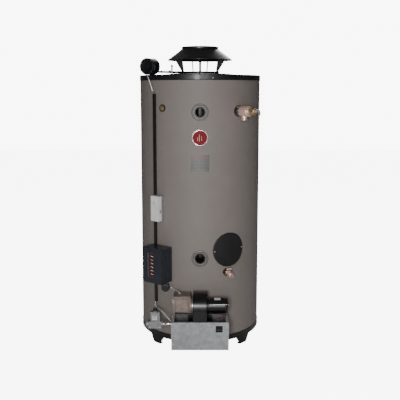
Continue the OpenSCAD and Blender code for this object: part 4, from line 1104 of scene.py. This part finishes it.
@dataclass
class Controls:
    """The raceway, junction box, control box, pressure switch and sensing tube."""

    raceway_azimuth: float = -45.0
    clip_heights: tuple[float, ...] = (1690, 1500, 1290, 1080, 790, 330)
    junction_azimuth: float = -40.0
    box_azimuth: float = -36.5
    switch_x: float = -231.0
    switch_y: float = -388.0
    tube_turn: float = 62.0
    tube_run: float = 96.2

    def build(self) -> None:
        """Builds each box down the raceway."""
        dress("wire_raceway", Look.BLACK_ENAMEL, 0.9)
        self.raceway_clips()
        self.junction_box()
        self.control_box()
        self.pressure_switch()
        self.sensing_tube()

    def raceway_clips(self) -> None:
        """Adds the screw tabs that hold the raceway."""
        shape = Shape()
        for z in self.clip_heights:
            place = on_wall(self.raceway_azimuth, JACKET_R, z)
            shape.block((-10.6, -13.6, -7), (10.6, -12.6, 7), Look.BLACK_ENAMEL, place)
            for side in (-1, 1):
                shape.block((side * 10.3 - 0.5, -13.4, -7), (side * 10.3 + 0.5, -0.3, 7), Look.BLACK_ENAMEL, place)
        shape.piece("raceway_clips", slot="black_paint", bevel=0.4)

    def junction_box(self) -> None:
        """Builds the white cover with its embossed face, its two screws and side latches."""
        dress("junction_box", Look.GALVANISED, 0.6)
        low, high = box_mm("junction_box_cover")
        place = on_wall(self.junction_azimuth, JACKET_R + 1.6, low.z)
        width, height, depth = 70.0, high.z - low.z, 48.0
        shape = Shape()
        face = place @ shift(0, -depth, height / 2) @ OUTWARD
        shape.pushed(rounded(width, height, 3), -1.2, 0.9, Look.WHITE_POWDER, face)
        shape.pushed(rounded(width - 16, height - 16, 4), 0.8, 1.2, Look.WHITE_POWDER, face)
        for side in (-1, 1):
            x = side * (width / 2 - 0.6)
            shape.block((x - 0.6, -depth, 0), (x + 0.6, -20, height), Look.WHITE_POWDER, place)
        shape.block((-width / 2, -depth, 0), (width / 2, -20, 1.2), Look.WHITE_POWDER, place)
        shape.block((-width / 2, -depth, height - 1.2), (width / 2, -20, height), Look.WHITE_POWDER, place)
        for x, z in ((-8, height - 40), (-4, height - 54)):
            shape.screw(place @ shift(x, -depth - 1.2, z), 3.0, Look.DARK_STEEL_AND_RECESS_SHADE)
        for x, z in ((-width / 2, height * 0.33), (width / 2, height * 0.33)):
            shape.block((x - 0.9, -38, z), (x + 0.9, -24, z + 22), Look.ZINC_PLATE, place)
        shape.piece("junction_box_white_cover", replaces=["junction_box_cover"], slot="white_paint", bevel=0.8)

    def control_box(self) -> None:
        """Dresses the box and builds the scale behind its window and the window's frame."""
        dress("control_box_base", Look.BOX_ENAMEL, 1.0)
        dress("control_board", Look.CIRCUIT, 0.4)
        dress("control_box_cover", Look.BOX_ENAMEL, 1.6)
        place = on_wall(self.box_azimuth, JACKET_R + 8, box_mm("control_box_base")[0].z)
        height, depth, window_x, hinge_x = 232.0, 108.0, -12.0, 81.0
        panel = Shape()
        back = place @ shift(window_x, -depth + 3, height / 2) @ OUTWARD
        panel.pushed(rounded(64, 176, 2), -2, 0, Look.STRIP_GREY, back)
        panel.block((-18, -80, 0), (26, 80, 0.6), Look.WINDOW_RED, back)
        panel.block((-27, -82, 0), (-20, 82, 1.0), Look.PLATE_FOIL, back)
        for i in range(6):
            tick = back @ shift(12, 62 - i * 24, 0.4) @ turn(-9, "Z")
            panel.pushed(rounded(22, 3.6, 1.2), 0, 1.4, Look.WHITE_LABEL, tick)
            lamp = back @ shift(-9, 62 - i * 24, 0.4)
            panel.disc_capped([(2.6, 0), (2.6, 1.0), (1.8, 1.8)], Look.WINDOW_RED, lamp, 24)
        panel.piece("indicator_scale_and_lamps", replaces=["indicator_panel"], slot="panel_red", bevel=0.3)
        trim = Shape()
        edge = place @ shift(0, -depth, height / 2) @ OUTWARD
        for x0, x1, y0, y1 in ((-42.5, 18.5, 84, 86.5), (-42.5, 18.5, -86.5, -84), (-42.5, -40, -86, 86),
                               (16, 18.5, -86, 86)):
            trim.block((x0, y0, -0.2), (x1, y1, 1.3), Look.BOX_ENAMEL, edge)
        for x in (-66, 66):
            for y in (-100, 100):
                trim.screw(place @ shift(x, -depth, height / 2 + y), 3.2, Look.DARK_STEEL_AND_RECESS_SHADE)
        hinge = place @ shift(hinge_x, -depth + 12, height / 2)
        for y in (-70, 70):
            trim.disc_capped([(2.4, y - 14), (3.0, y - 13.4), (3.0, y + 13.4), (2.4, y + 14)], Look.BOX_ENAMEL,
                             hinge, 20)
        trim.piece("control_box_window_frame", slot="black_plastic", bevel=0.4)

    def pressure_switch(self) -> None:
        """Dresses the round diaphragm switch and adds its rings, port and terminals."""
        dress("pressure_switch", Look.BLACK_ABS, 0.5)
        out = shift(self.switch_x, self.switch_y + TANK_Y, middle("pressure_switch").z) @ OUTWARD
        shape = Shape()
        shape.turned([(23.2, 4.6), (23.2, 5.6), (21.6, 6.1), (17.6, 6.1), (16.4, 5.3), (12.4, 5.3), (11.2, 6.1),
                      (9.6, 6.1)], Look.BLACK_ABS, out, 64)
        shape.turned([(28.3, -8.6), (28.8, -7.4), (28.3, -6.2)], Look.ZINC_PLATE, out, 64)
        shape.hexagon(11, 9.6, 12.6, Look.DARK_STEEL_AND_RECESS_SHADE, out)
        for x in (-8.0, 8.0):
            shape.block((x - 3, 22.6, -24), (x + 3, 27.4, -14), Look.YELLOW_BRASS, out)
        shape.piece("pressure_switch_rings", slot="black_plastic", bevel=0.2)

    def sensing_tube(self) -> None:
        """Builds the thin aluminium tube with a flare nut at each end."""
        low, high = box_mm("sensing_tube")
        start = Vector((low.x - 1.2, high.y - 3.0, high.z - 3.0))
        bend, run = math.radians(self.tube_turn), self.tube_run
        ahead = Vector((math.cos(bend), -math.sin(bend), 0))
        first = start + Vector((5 + 10 * math.sin(bend), -10 * (1 - math.cos(bend)), 0))
        route = [start, start + Vector((5, 0, 0)), start + Vector((10, -2.2, 0)), first]
        route += [first + ahead * (run * i / 6) for i in range(1, 7)]
        last = route[-1]
        route += [last + ahead * 5.6 + Vector((0, 0, -2.3)), last + ahead * 8 + Vector((0, 0, -8)),
                  last + ahead * 8 + Vector((0, 0, -10.5))]
        line = smooth_path(route, 5)
        shape = Shape()
        shape.swept(line, 3.6, Look.BRIGHT_ALUMINIUM_AND_FLANGE_HIGHLIGHT, None, 16)
        for near, far in ((line[0], line[4]), (line[-1], line[-5])):
            shape.hexagon(15, 0.6, 8, Look.BRIGHT_ALUMINIUM_AND_FLANGE_HIGHLIGHT, aimed(near, far))
        shape.piece("sensing_tube_and_nuts", replaces=["sensing_tube"], slot="bare_steel")


# ---------------------------------------------------------------- burner


@dataclass
class BurnerBox:
    """The galvanised burner tray with its front panel, cover plate, flanges and rocker switch."""

    def build(self) -> None:
        """Dresses the sheet metal and adds what is fixed to it."""
        # Painted shade: the tray inside the box gets the darker copy of the galvanised finish
        dress("burner_tray", Look.SHADED_ZINC, 0.5)
        dress("burner_front_panel", Look.GALVANISED, 1.2)
        self.cover_plate()
        self.flanges()
        self.ribs()
        dress("switch_bezel", Look.BLACK_ABS, 0.7)
        dress("switch_rocker", Look.BLACK_ABS, 0.7)

    def cover_plate(self) -> None:
        """Adds the black cover plate on both sides under the blower."""
        shape = Shape()
        plate_z = box_mm("blower_housing")[0].z + 1.4
        for x0, x1 in ((-77, -46), (47, 77)):
            shape.block((x0, -498, plate_z), (x1, -400, plate_z + 1.0), Look.GLOSS_BLACK)
        shape.piece("blower_cover_plate", slot="black_paint", bevel=0.4)

    def ribs(self) -> None:
        """Adds the two stiffening ribs across the front panel."""
        low, high = box_mm("burner_front_panel")
        shape = Shape()
        for z in (low.z + 9, high.z - 12):
            rib = [(-150, z - 1.8), (150, z - 1.8), (152, z), (150, z + 1.8), (-150, z + 1.8), (-152, z)]
            shape.pushed(rib, -0.4, 0.7, Look.GALVANISED, shift(0, low.y, 0) @ OUTWARD)
        shape.piece("front_panel_ribs", slot="galvanised", bevel=0.6)

    def flanges(self) -> None:
        """Adds the folded flanges along the tray's two sides, in the brightest metal as a painted highlight on their
        tops.
        """
        low, high = box_mm("burner_tray")
        shape = Shape()
        for side in (-1, 1):
            inner, outer = side * (high.x - 18), side * high.x
            back = TANK_Y - math.sqrt((JACKET_R + 4) ** 2 - inner ** 2)
            # Painted highlight: the flanges take the bright aluminium in place of the tray's galvanised finish
            shape.block((min(inner, outer), low.y, high.z - 0.2), (max(inner, outer), back, high.z + 0.9),
                        Look.BRIGHT_ALUMINIUM_AND_FLANGE_HIGHLIGHT)
        shape.piece("tray_side_flanges", slot="galvanised", bevel=0.3)


@dataclass
class Blower:
    """The combustion blower, its motor and the intake box."""

    rim_xs: tuple[float, ...] = (-43.0, 42.0)
    screw_step: int = 45
    slot_step: int = 24

    def axis(self) -> Vector:
        """Returns a place on the shaft's axis."""
        return joint_place("blower_spin")

    def build(self) -> None:
        """Builds the scroll, the motor and the intake."""
        self.scroll()
        self.motor()
        self.intake()

    def scroll(self) -> None:
        """Dresses the housing and adds its rolled rims and rim screws."""
        dress("blower_housing", Look.GLOSS_BLACK, 1.0)
        dress("blower_wheel", Look.GALVANISED)
        centre = self.axis()
        r = box_mm("blower_housing")[1].z - centre.z
        shape = Shape()
        for x in self.rim_xs:
            place = shift(x, centre.y, centre.z) @ ALONG_X
            shape.turned(arc((r - 1, 0), 1.6, 0, 330, 11), Look.GLOSS_BLACK, place, 128, closed=True)
        for degrees in range(0, 360, self.screw_step):
            place = shift(43, centre.y, centre.z) @ turn(degrees + 20, "X") @ shift(0, 0, r - 8) @ turn(90, "Z")
            if degrees + 20 < 130 or degrees + 20 > 230:
                shape.screw(place, 3.2, Look.ZINC_PLATE)
        shape.piece("blower_rims_and_screws", slot="black_paint")

    def motor(self) -> None:
        """Builds the motor's shell with dark strips of painted shade for its cooling slots, end bells, through-bolts
        and leads.
        """
        centre = self.axis()
        place = shift(0, centre.y, centre.z) @ ALONG_X
        dress("motor_rotor", Look.ZINC_PLATE)
        shape = Shape()
        rows = [(8.2, 44), (56, 44), (56, 47.4), (55.4, 48), (50, 48.4), (50, 62), (49.2, 62.6), (49.2, 64.4), (50, 65),
                (50, 158), (49.2, 158.6), (49.2, 160.4), (50, 161), (50, 172), (47, 177), (41, 180.4), (24, 182),
                (20, 181), (10, 181), (0, 181)]
        shape.turned(rows, Look.GLOSS_BLACK, place, 96)
        # Painted shade: the cooling slots are not cut, dark strips on the shell stand in for them
        for degrees in range(0, 360, self.slot_step):
            for x0, x1 in ((68, 84), (140, 154)):
                shape.block((49.1, -3.4, x0), (50.25, 3.4, x1), Look.DARK_STEEL_AND_RECESS_SHADE, place @ turn(degrees, "Z"))
        for side in (-1, 1):
            bolt = shift(0, centre.y + side * 50, centre.z - side * 23) @ ALONG_X
            for x in (48.0, 172.0):
                shape.disc_capped([(6, x), (7, x + 0.8), (7, x + 7.2), (6, x + 8)], Look.GLOSS_BLACK, bolt, 24)
            shape.disc_capped([(2.6, 47), (3.0, 48), (3.0, 186)], Look.ZINC_PLATE, bolt, 20)
            shape.hexagon(13, 180.5, 186.6, Look.ZINC_PLATE, bolt)
        band = arc((0, 0), 50.35, 62, 118, 8)
        label = band + [(x * 0.992, y * 0.992) for x, y in reversed(band)]
        shape.pushed(label, 92, 132, Look.WHITE_LABEL, shift(0, centre.y, centre.z) @ PUSHED_X_FRONT)
        shape.piece("motor_shell_and_bolts", replaces=["motor_shell"], slot="black_paint")
        self.leads(centre)

    def leads(self, centre: Vector) -> None:
        """Builds the motor's leads, which loop under it and run into the burner box."""
        shape = Shape()
        for look, y, drop, start, end in ((Look.WIRE_BLACK, -14, 0, 150, 96), (Look.WIRE_BROWN, -8, 4, 158, 104),
                                          (Look.WIRE_BLACK, -20, 7, 164, 112), (Look.WIRE_BROWN, -26, 2, 142, 88)):
            y += centre.y
            route = [(start, y, centre.z - 46), (start + 3, y - 4, centre.z - 64),
                     (start - 14, y - 10, centre.z - 82 - drop), (end + 10, y - 12, centre.z - 92 - drop),
                     (end, y - 6, centre.z - 112), (end - 6, y, centre.z - 150)]
            shape.swept(smooth_path(route, 8), 2.3, look, None, 10)
        shape.piece("motor_leads", slot="black_plastic")

    def intake(self) -> None:
        """Dresses the intake box and its shutter and adds creases, rivets and the zinc collar."""
        # Painted shade: the intake box gets the darker, warmer copy of the galvanised finish
        dress("intake_box", Look.SHADED_WARM_ZINC, 1.2)
        dress("air_shutter", Look.GALVANISED, 0.5)
        low, high = box_mm("intake_box")
        shape = Shape()
        front = shift(0, low.y, 0) @ OUTWARD
        x0, x1 = low.x + 12, low.x + 122
        inset = 12
        crease = [(x0 + inset, low.z + inset), (x1 - inset, low.z + inset), (x1 - inset, high.z - inset),
                  (x0 + inset, high.z - inset)]
        # The creases carry the same painted-shade zinc as the box
        for a, b in zip(crease, crease[1:] + crease[:1]):
            shape.swept([(*a, 0.3), (*b, 0.3)], 1.3, Look.SHADED_WARM_ZINC, front, 8)
        for x, z, i, j in ((x0, low.z, 1, 1), (x1, high.z, -1, -1), (x0, high.z, 1, -1), (x1, low.z, -1, 1)):
            ends = [(x + 4 * i, z + 4 * j, 0.2), (x + inset * i, z + inset * j, 0.3)]
            shape.swept(ends, 1.1, Look.SHADED_WARM_ZINC, front, 8)
        for x in (x0 + 8, x0 + 42, x0 + 76, x1 - 8):
            for z in (low.z + 6, high.z - 6):
                shape.disc_capped([(2.3, -0.2), (2.1, 0.9), (1.2, 1.5)], Look.ZINC_PLATE, front @ shift(x, z, 0), 16)
        centre = self.axis()
        place = shift(0, centre.y, centre.z) @ ALONG_X
        shape.turned([(47.2, -50), (49.6, -49.6), (49.6, -46.4), (47.2, -46)], Look.ZINC_PLATE, place, 96)
        shape.piece("intake_creases_and_rivets", slot="galvanised")


@dataclass
class GasTrain:
    """The gas valve, its knob, the union and nipple, and the flexible conduit down to the box."""

    line_y: float = TANK_Y - 500
    line_z: float = 224.0

    def build(self) -> None:
        """Builds each piece of the gas train."""
        self.valve()
        self.knob()
        self.pipes()

    def valve(self) -> None:
        """Dresses the casting and adds its ports, screws, plate and label."""
        dress("gas_valve_body", Look.CAST_ALLOY, 1.4)
        front = box_mm("gas_valve_body")[0].y
        y, z = self.line_y, self.line_z
        shape = Shape()
        for x in (-329, -259):
            for dz in (-17, 17):
                shape.screw(shift(x, front, z + dz), 3.4)
        top = shift(-291.5, y - 20, z + 54)
        shape.block((-19, -1.0, -22), (11, 0.4, 6), Look.WHITE_LABEL, top)
        for i in range(3):
            shape.block((-16, -1.3, -i * 7), (4 + 3 * (i % 2), -0.8, 2.4 - i * 7), Look.PRINT_DARK, top)
        shape.screw(top @ shift(-25.5, 0.2, 23), 2.8)
        shape.screw(top @ shift(25.5, 0.2, -24), 2.8)
        for x in (-300, -283):
            shape.disc_capped([(4.6, 0), (5.2, 1), (5.2, 5), (4.4, 6)], Look.CAST_ALLOY,
                              shift(x, y - 20, z + 26) @ OUTWARD, 6)
        for x in (-346, -244):
            shape.turned([(26.2, -1.4), (26.8, 0), (26.2, 1.4)], Look.CAST_ALLOY, shift(x, y, z) @ ALONG_X, 64)
        shape.piece("gas_valve_fittings", slot="cast_alloy", bevel=0.3)

    def knob(self) -> None:
        """Builds the fluted knob with its pointer."""
        pin = joint_place("gas_knob_turn")
        place = shift(pin.x, pin.y, box_mm("gas_valve_knob")[0].z + 14)
        shape = Shape()
        steps, flutes = 72, 18
        rim = [(13.4 - 0.7 * (math.cos(a * flutes) > 0), a) for a in (2 * math.pi * i / steps for i in range(steps))]
        outline = [(r * math.cos(a), r * math.sin(a)) for r, a in rim]
        shape.pushed(outline, 0, 14.4, Look.BLACK_ABS, place)
        shape.disc_capped([(12.2, 14.2), (11.6, 16.4), (10.0, 17.4)], Look.BLACK_ABS, place, 48)
        shape.block((-2, -16, 2), (2, -11, 12), Look.BLACK_ABS, place)
        shape.block((-0.7, -11, 17.3), (0.7, -3, 17.7), Look.WHITE_LABEL, place)
        shape.disc_capped([(4, -14), (4, 1)], Look.ZINC_PLATE, place, 24)
        shape.piece("gas_valve_fluted_knob", "gas_knob", ["gas_valve_knob"], "black_plastic", 0.4)

    def pipes(self) -> None:
        """Builds the threaded nipple, the union with its nut, and the flexible conduit."""
        place = shift(0, self.line_y, self.line_z) @ ALONG_X
        shape = Shape()
        thread = [point for i in range(8) for point in ((13.3, -198 + i * 2.0), (12.4, -197 + i * 2.0))]
        rows = [(10, -262), (13.3, -262), (13.3, -200), *thread, (13.3, -181), (13.3, -150), (10, -150)]
        shape.turned(rows, Look.ZINC_PLATE, place, 48)
        # Painted shade: the union nut gets the darker, warmer copy of the galvanised finish
        shape.hexagon(44, -234, -216, Look.SHADED_WARM_ZINC, place)
        for ring in ([(13, -216), (17, -216), (18, -215), (18, -201), (17, -200), (13, -200)],
                     [(13.3, -192), (19, -191.6), (20, -190.6), (20, -187.2), (19, -186.4), (13.3, -186)]):
            shape.turned(ring, Look.ZINC_PLATE, place, 48)
        route = [(-304.5, -304.5, 304), (-303, -318, 290), (-292, -352, 285), (-272, -404, 291), (-250, -452, 290),
                 (-222, -500, 279), (-200, -535, 269), (-189, -545, 259)]
        corrugated(shape, route, 5.5)
        shape.piece("gas_nipple_union_and_conduit", replaces=["gas_pipes"], slot="bare_steel")


@dataclass
class Fasteners:
    """Pan-head screws wherever the frame has one."""

    head: float = 11.0
    reach: float = 500.0

    def build(self) -> None:
        """Builds a cross-recess screw at the place of each plain one."""
        shape = Shape()
        for low, high in solids("screws"):
            size = high - low
            centre = (low + high) / 2
            if size.z < self.head < min(size.x, size.y):
                shape.screw(shift(centre.x, centre.y, high.z - 2.8) @ turn(-90, "X"), 6.5)
            elif radius_of(centre) > self.reach:
                shape.screw(shift(centre.x, low.y + 2.6, centre.z), size.z / 2)
            else:
                shape.screw(on_wall(azimuth_of(centre), radius_of(centre) + 1.0, centre.z), size.z / 2)
        shape.piece("cross_recess_screws", replaces=["screws"], slot="bare_steel")


@dataclass
class InnerParts:
    """What the casing hides: tank, flue, burner and insulation."""

    looks: dict[str, Look] = field(default_factory=lambda: {
        "insulation": Look.FOAM, "inner_tank": Look.TANK_STEEL, "flue_tubes": Look.HOT_STEEL,
        "flue_baffles": Look.HOT_STEEL, "combustion_chamber": Look.HOT_STEEL, "burner_head": Look.HOT_STEEL,
        "anode_rods": Look.MAGNESIUM, "flue_collector": Look.GALVANISED})

    def build(self) -> None:
        """Dresses each sheltered piece."""
        for node, look in self.looks.items():
            dress(node, look)


# ---------------------------------------------------------------- studio


@dataclass
class Studio:
    """A pale floor, soft lamps and the camera."""

    camera_z: float = 1.740
    distance: float = 4.45
    focal: float = 56.67
    tilt: float = 7.52
    shift_y: float = -0.068
    back_wall: float = 0.12
    side_wall: float = 0.03
    backdrop: float = 8.5
    floor_glow: float = 7.6
    floor_half: float = 14.0

    def build(self) -> None:
        """Lights the room and places the lamps and the floor; the camera is placed by its own method."""
        self.world()
        self.floor()
        self.lamp("key_softbox", (-0.5, -5.4, 1.7), (0.0, 0.1, 0.95), (0.8, 1.4), 160)
        self.lamp("fill_softbox", (1.1, -5.2, 1.7), (0.0, 0.1, 0.9), (0.6, 1.6), 24)
        self.lamp("back_softbox", (0.4, 4.4, 4.0), (0.0, 0.4, 1.0), (2.4, 2.0), 85)

    def camera(self) -> None:
        """Makes the camera at eye height in front of the tank, tilted down to the middle of it."""
        data = bpy.data.cameras.new("camera")
        data.lens = self.focal
        data.sensor_width = 36.0
        data.shift_y = self.shift_y
        made = bpy.data.objects.new("camera", data)
        made.location = (0.0, TANK_Y * MM - self.distance, self.camera_z)
        made.rotation_euler = (math.radians(90 - self.tilt), 0.0, 0.0)
        bpy.context.scene.collection.objects.link(made)
        bpy.context.scene.camera = made

    def world(self) -> None:
        """Lights the scene from a near-white room."""
        world = bpy.data.worlds.new("studio_room")
        world.use_nodes = True
        tree = world.node_tree
        background = tree.nodes["Background"]
        place = add_node(tree, "TexCoord").outputs["Generated"]
        axes = add_node(tree, "SeparateXYZ", {}, {"Vector": place})
        sideways = add_node(tree, "Math", {"operation": "ABSOLUTE"}, {0: axes.outputs["X"]})
        walls = add_node(tree, "MapRange", {"From Min": 0.25, "From Max": 0.95, "To Min": self.back_wall,
                                            "To Max": self.side_wall}, {"Value": sideways.outputs["Value"]})
        seen = add_node(tree, "LightPath").outputs["Is Camera Ray"]
        level = add_node(tree, "Mix", {"B": self.backdrop}, {"Factor": seen, "A": walls.outputs["Result"]})
        background.inputs["Color"].default_value = colour("#ffffff")
        tree.links.new(level.outputs["Result"], background.inputs["Strength"])
        bpy.context.scene.world = world

    def lamp(self, name: str, place: Point, aim: Point, size: tuple[float, float], power: float) -> None:
        """Adds a rectangular softbox.

        Args:
            name: the lamp's name.
            place: where it stands, in metres.
            aim: what it looks at, in metres.
            size: its width and height in metres.
            power: its power in watts.
        """
        data = bpy.data.lights.new(name, "AREA")
        data.shape = "RECTANGLE"
        data.size, data.size_y = size
        data.energy = power
        made = bpy.data.objects.new(name, data)
        made.location = place
        made.rotation_euler = (Vector(aim) - Vector(place)).to_track_quat("-Z", "Y").to_euler()
        bpy.context.scene.collection.objects.link(made)

    def floor(self) -> None:
        """Adds a wide pale floor."""
        mesh = bpy.data.meshes.new("studio_floor")
        half = self.floor_half
        mesh.from_pydata([(-half, -half, 0), (half, -half, 0), (half, half, 0), (-half, half, 0)], [], [(0, 1, 2, 3)])
        finish = Finish("pale_studio_floor", "#f6f6f6", "#f2f2f2", 0.0, 0.75, 0.85, 900, 4.0, 0.02)
        material = finish.material()
        shader = material.node_tree.nodes["Principled BSDF"]
        seen = add_node(material.node_tree, "LightPath").outputs["Is Camera Ray"]
        glow = add_node(material.node_tree, "Math", {"operation": "MULTIPLY", 1: self.floor_glow}, {0: seen})
        shader.inputs["Emission Color"].default_value = colour("#ffffff")
        material.node_tree.links.new(glow.outputs["Value"], shader.inputs["Emission Strength"])
        mesh.materials.append(material)
        made = bpy.data.objects.new("studio_floor", mesh)
        bpy.context.scene.collection.objects.link(made)


def main() -> None:
    """Builds the heater and its studio."""
    logging.basicConfig(level=logging.INFO, format="%(name)s: %(message)s")
    studio = Studio()
    studio.camera()
    for part in (InnerParts(), Casing(), Legs(), DraftHood(), TopControls(), PipePorts(), BadgeAndPlate(),
                 ReliefValve(), DrainValve(), CleanOut(), Controls(), BurnerBox(), Blower(), GasTrain(),
                 Fasteners()):
        part.build()
    studio.build()


if __name__ == "__main__":
    main()
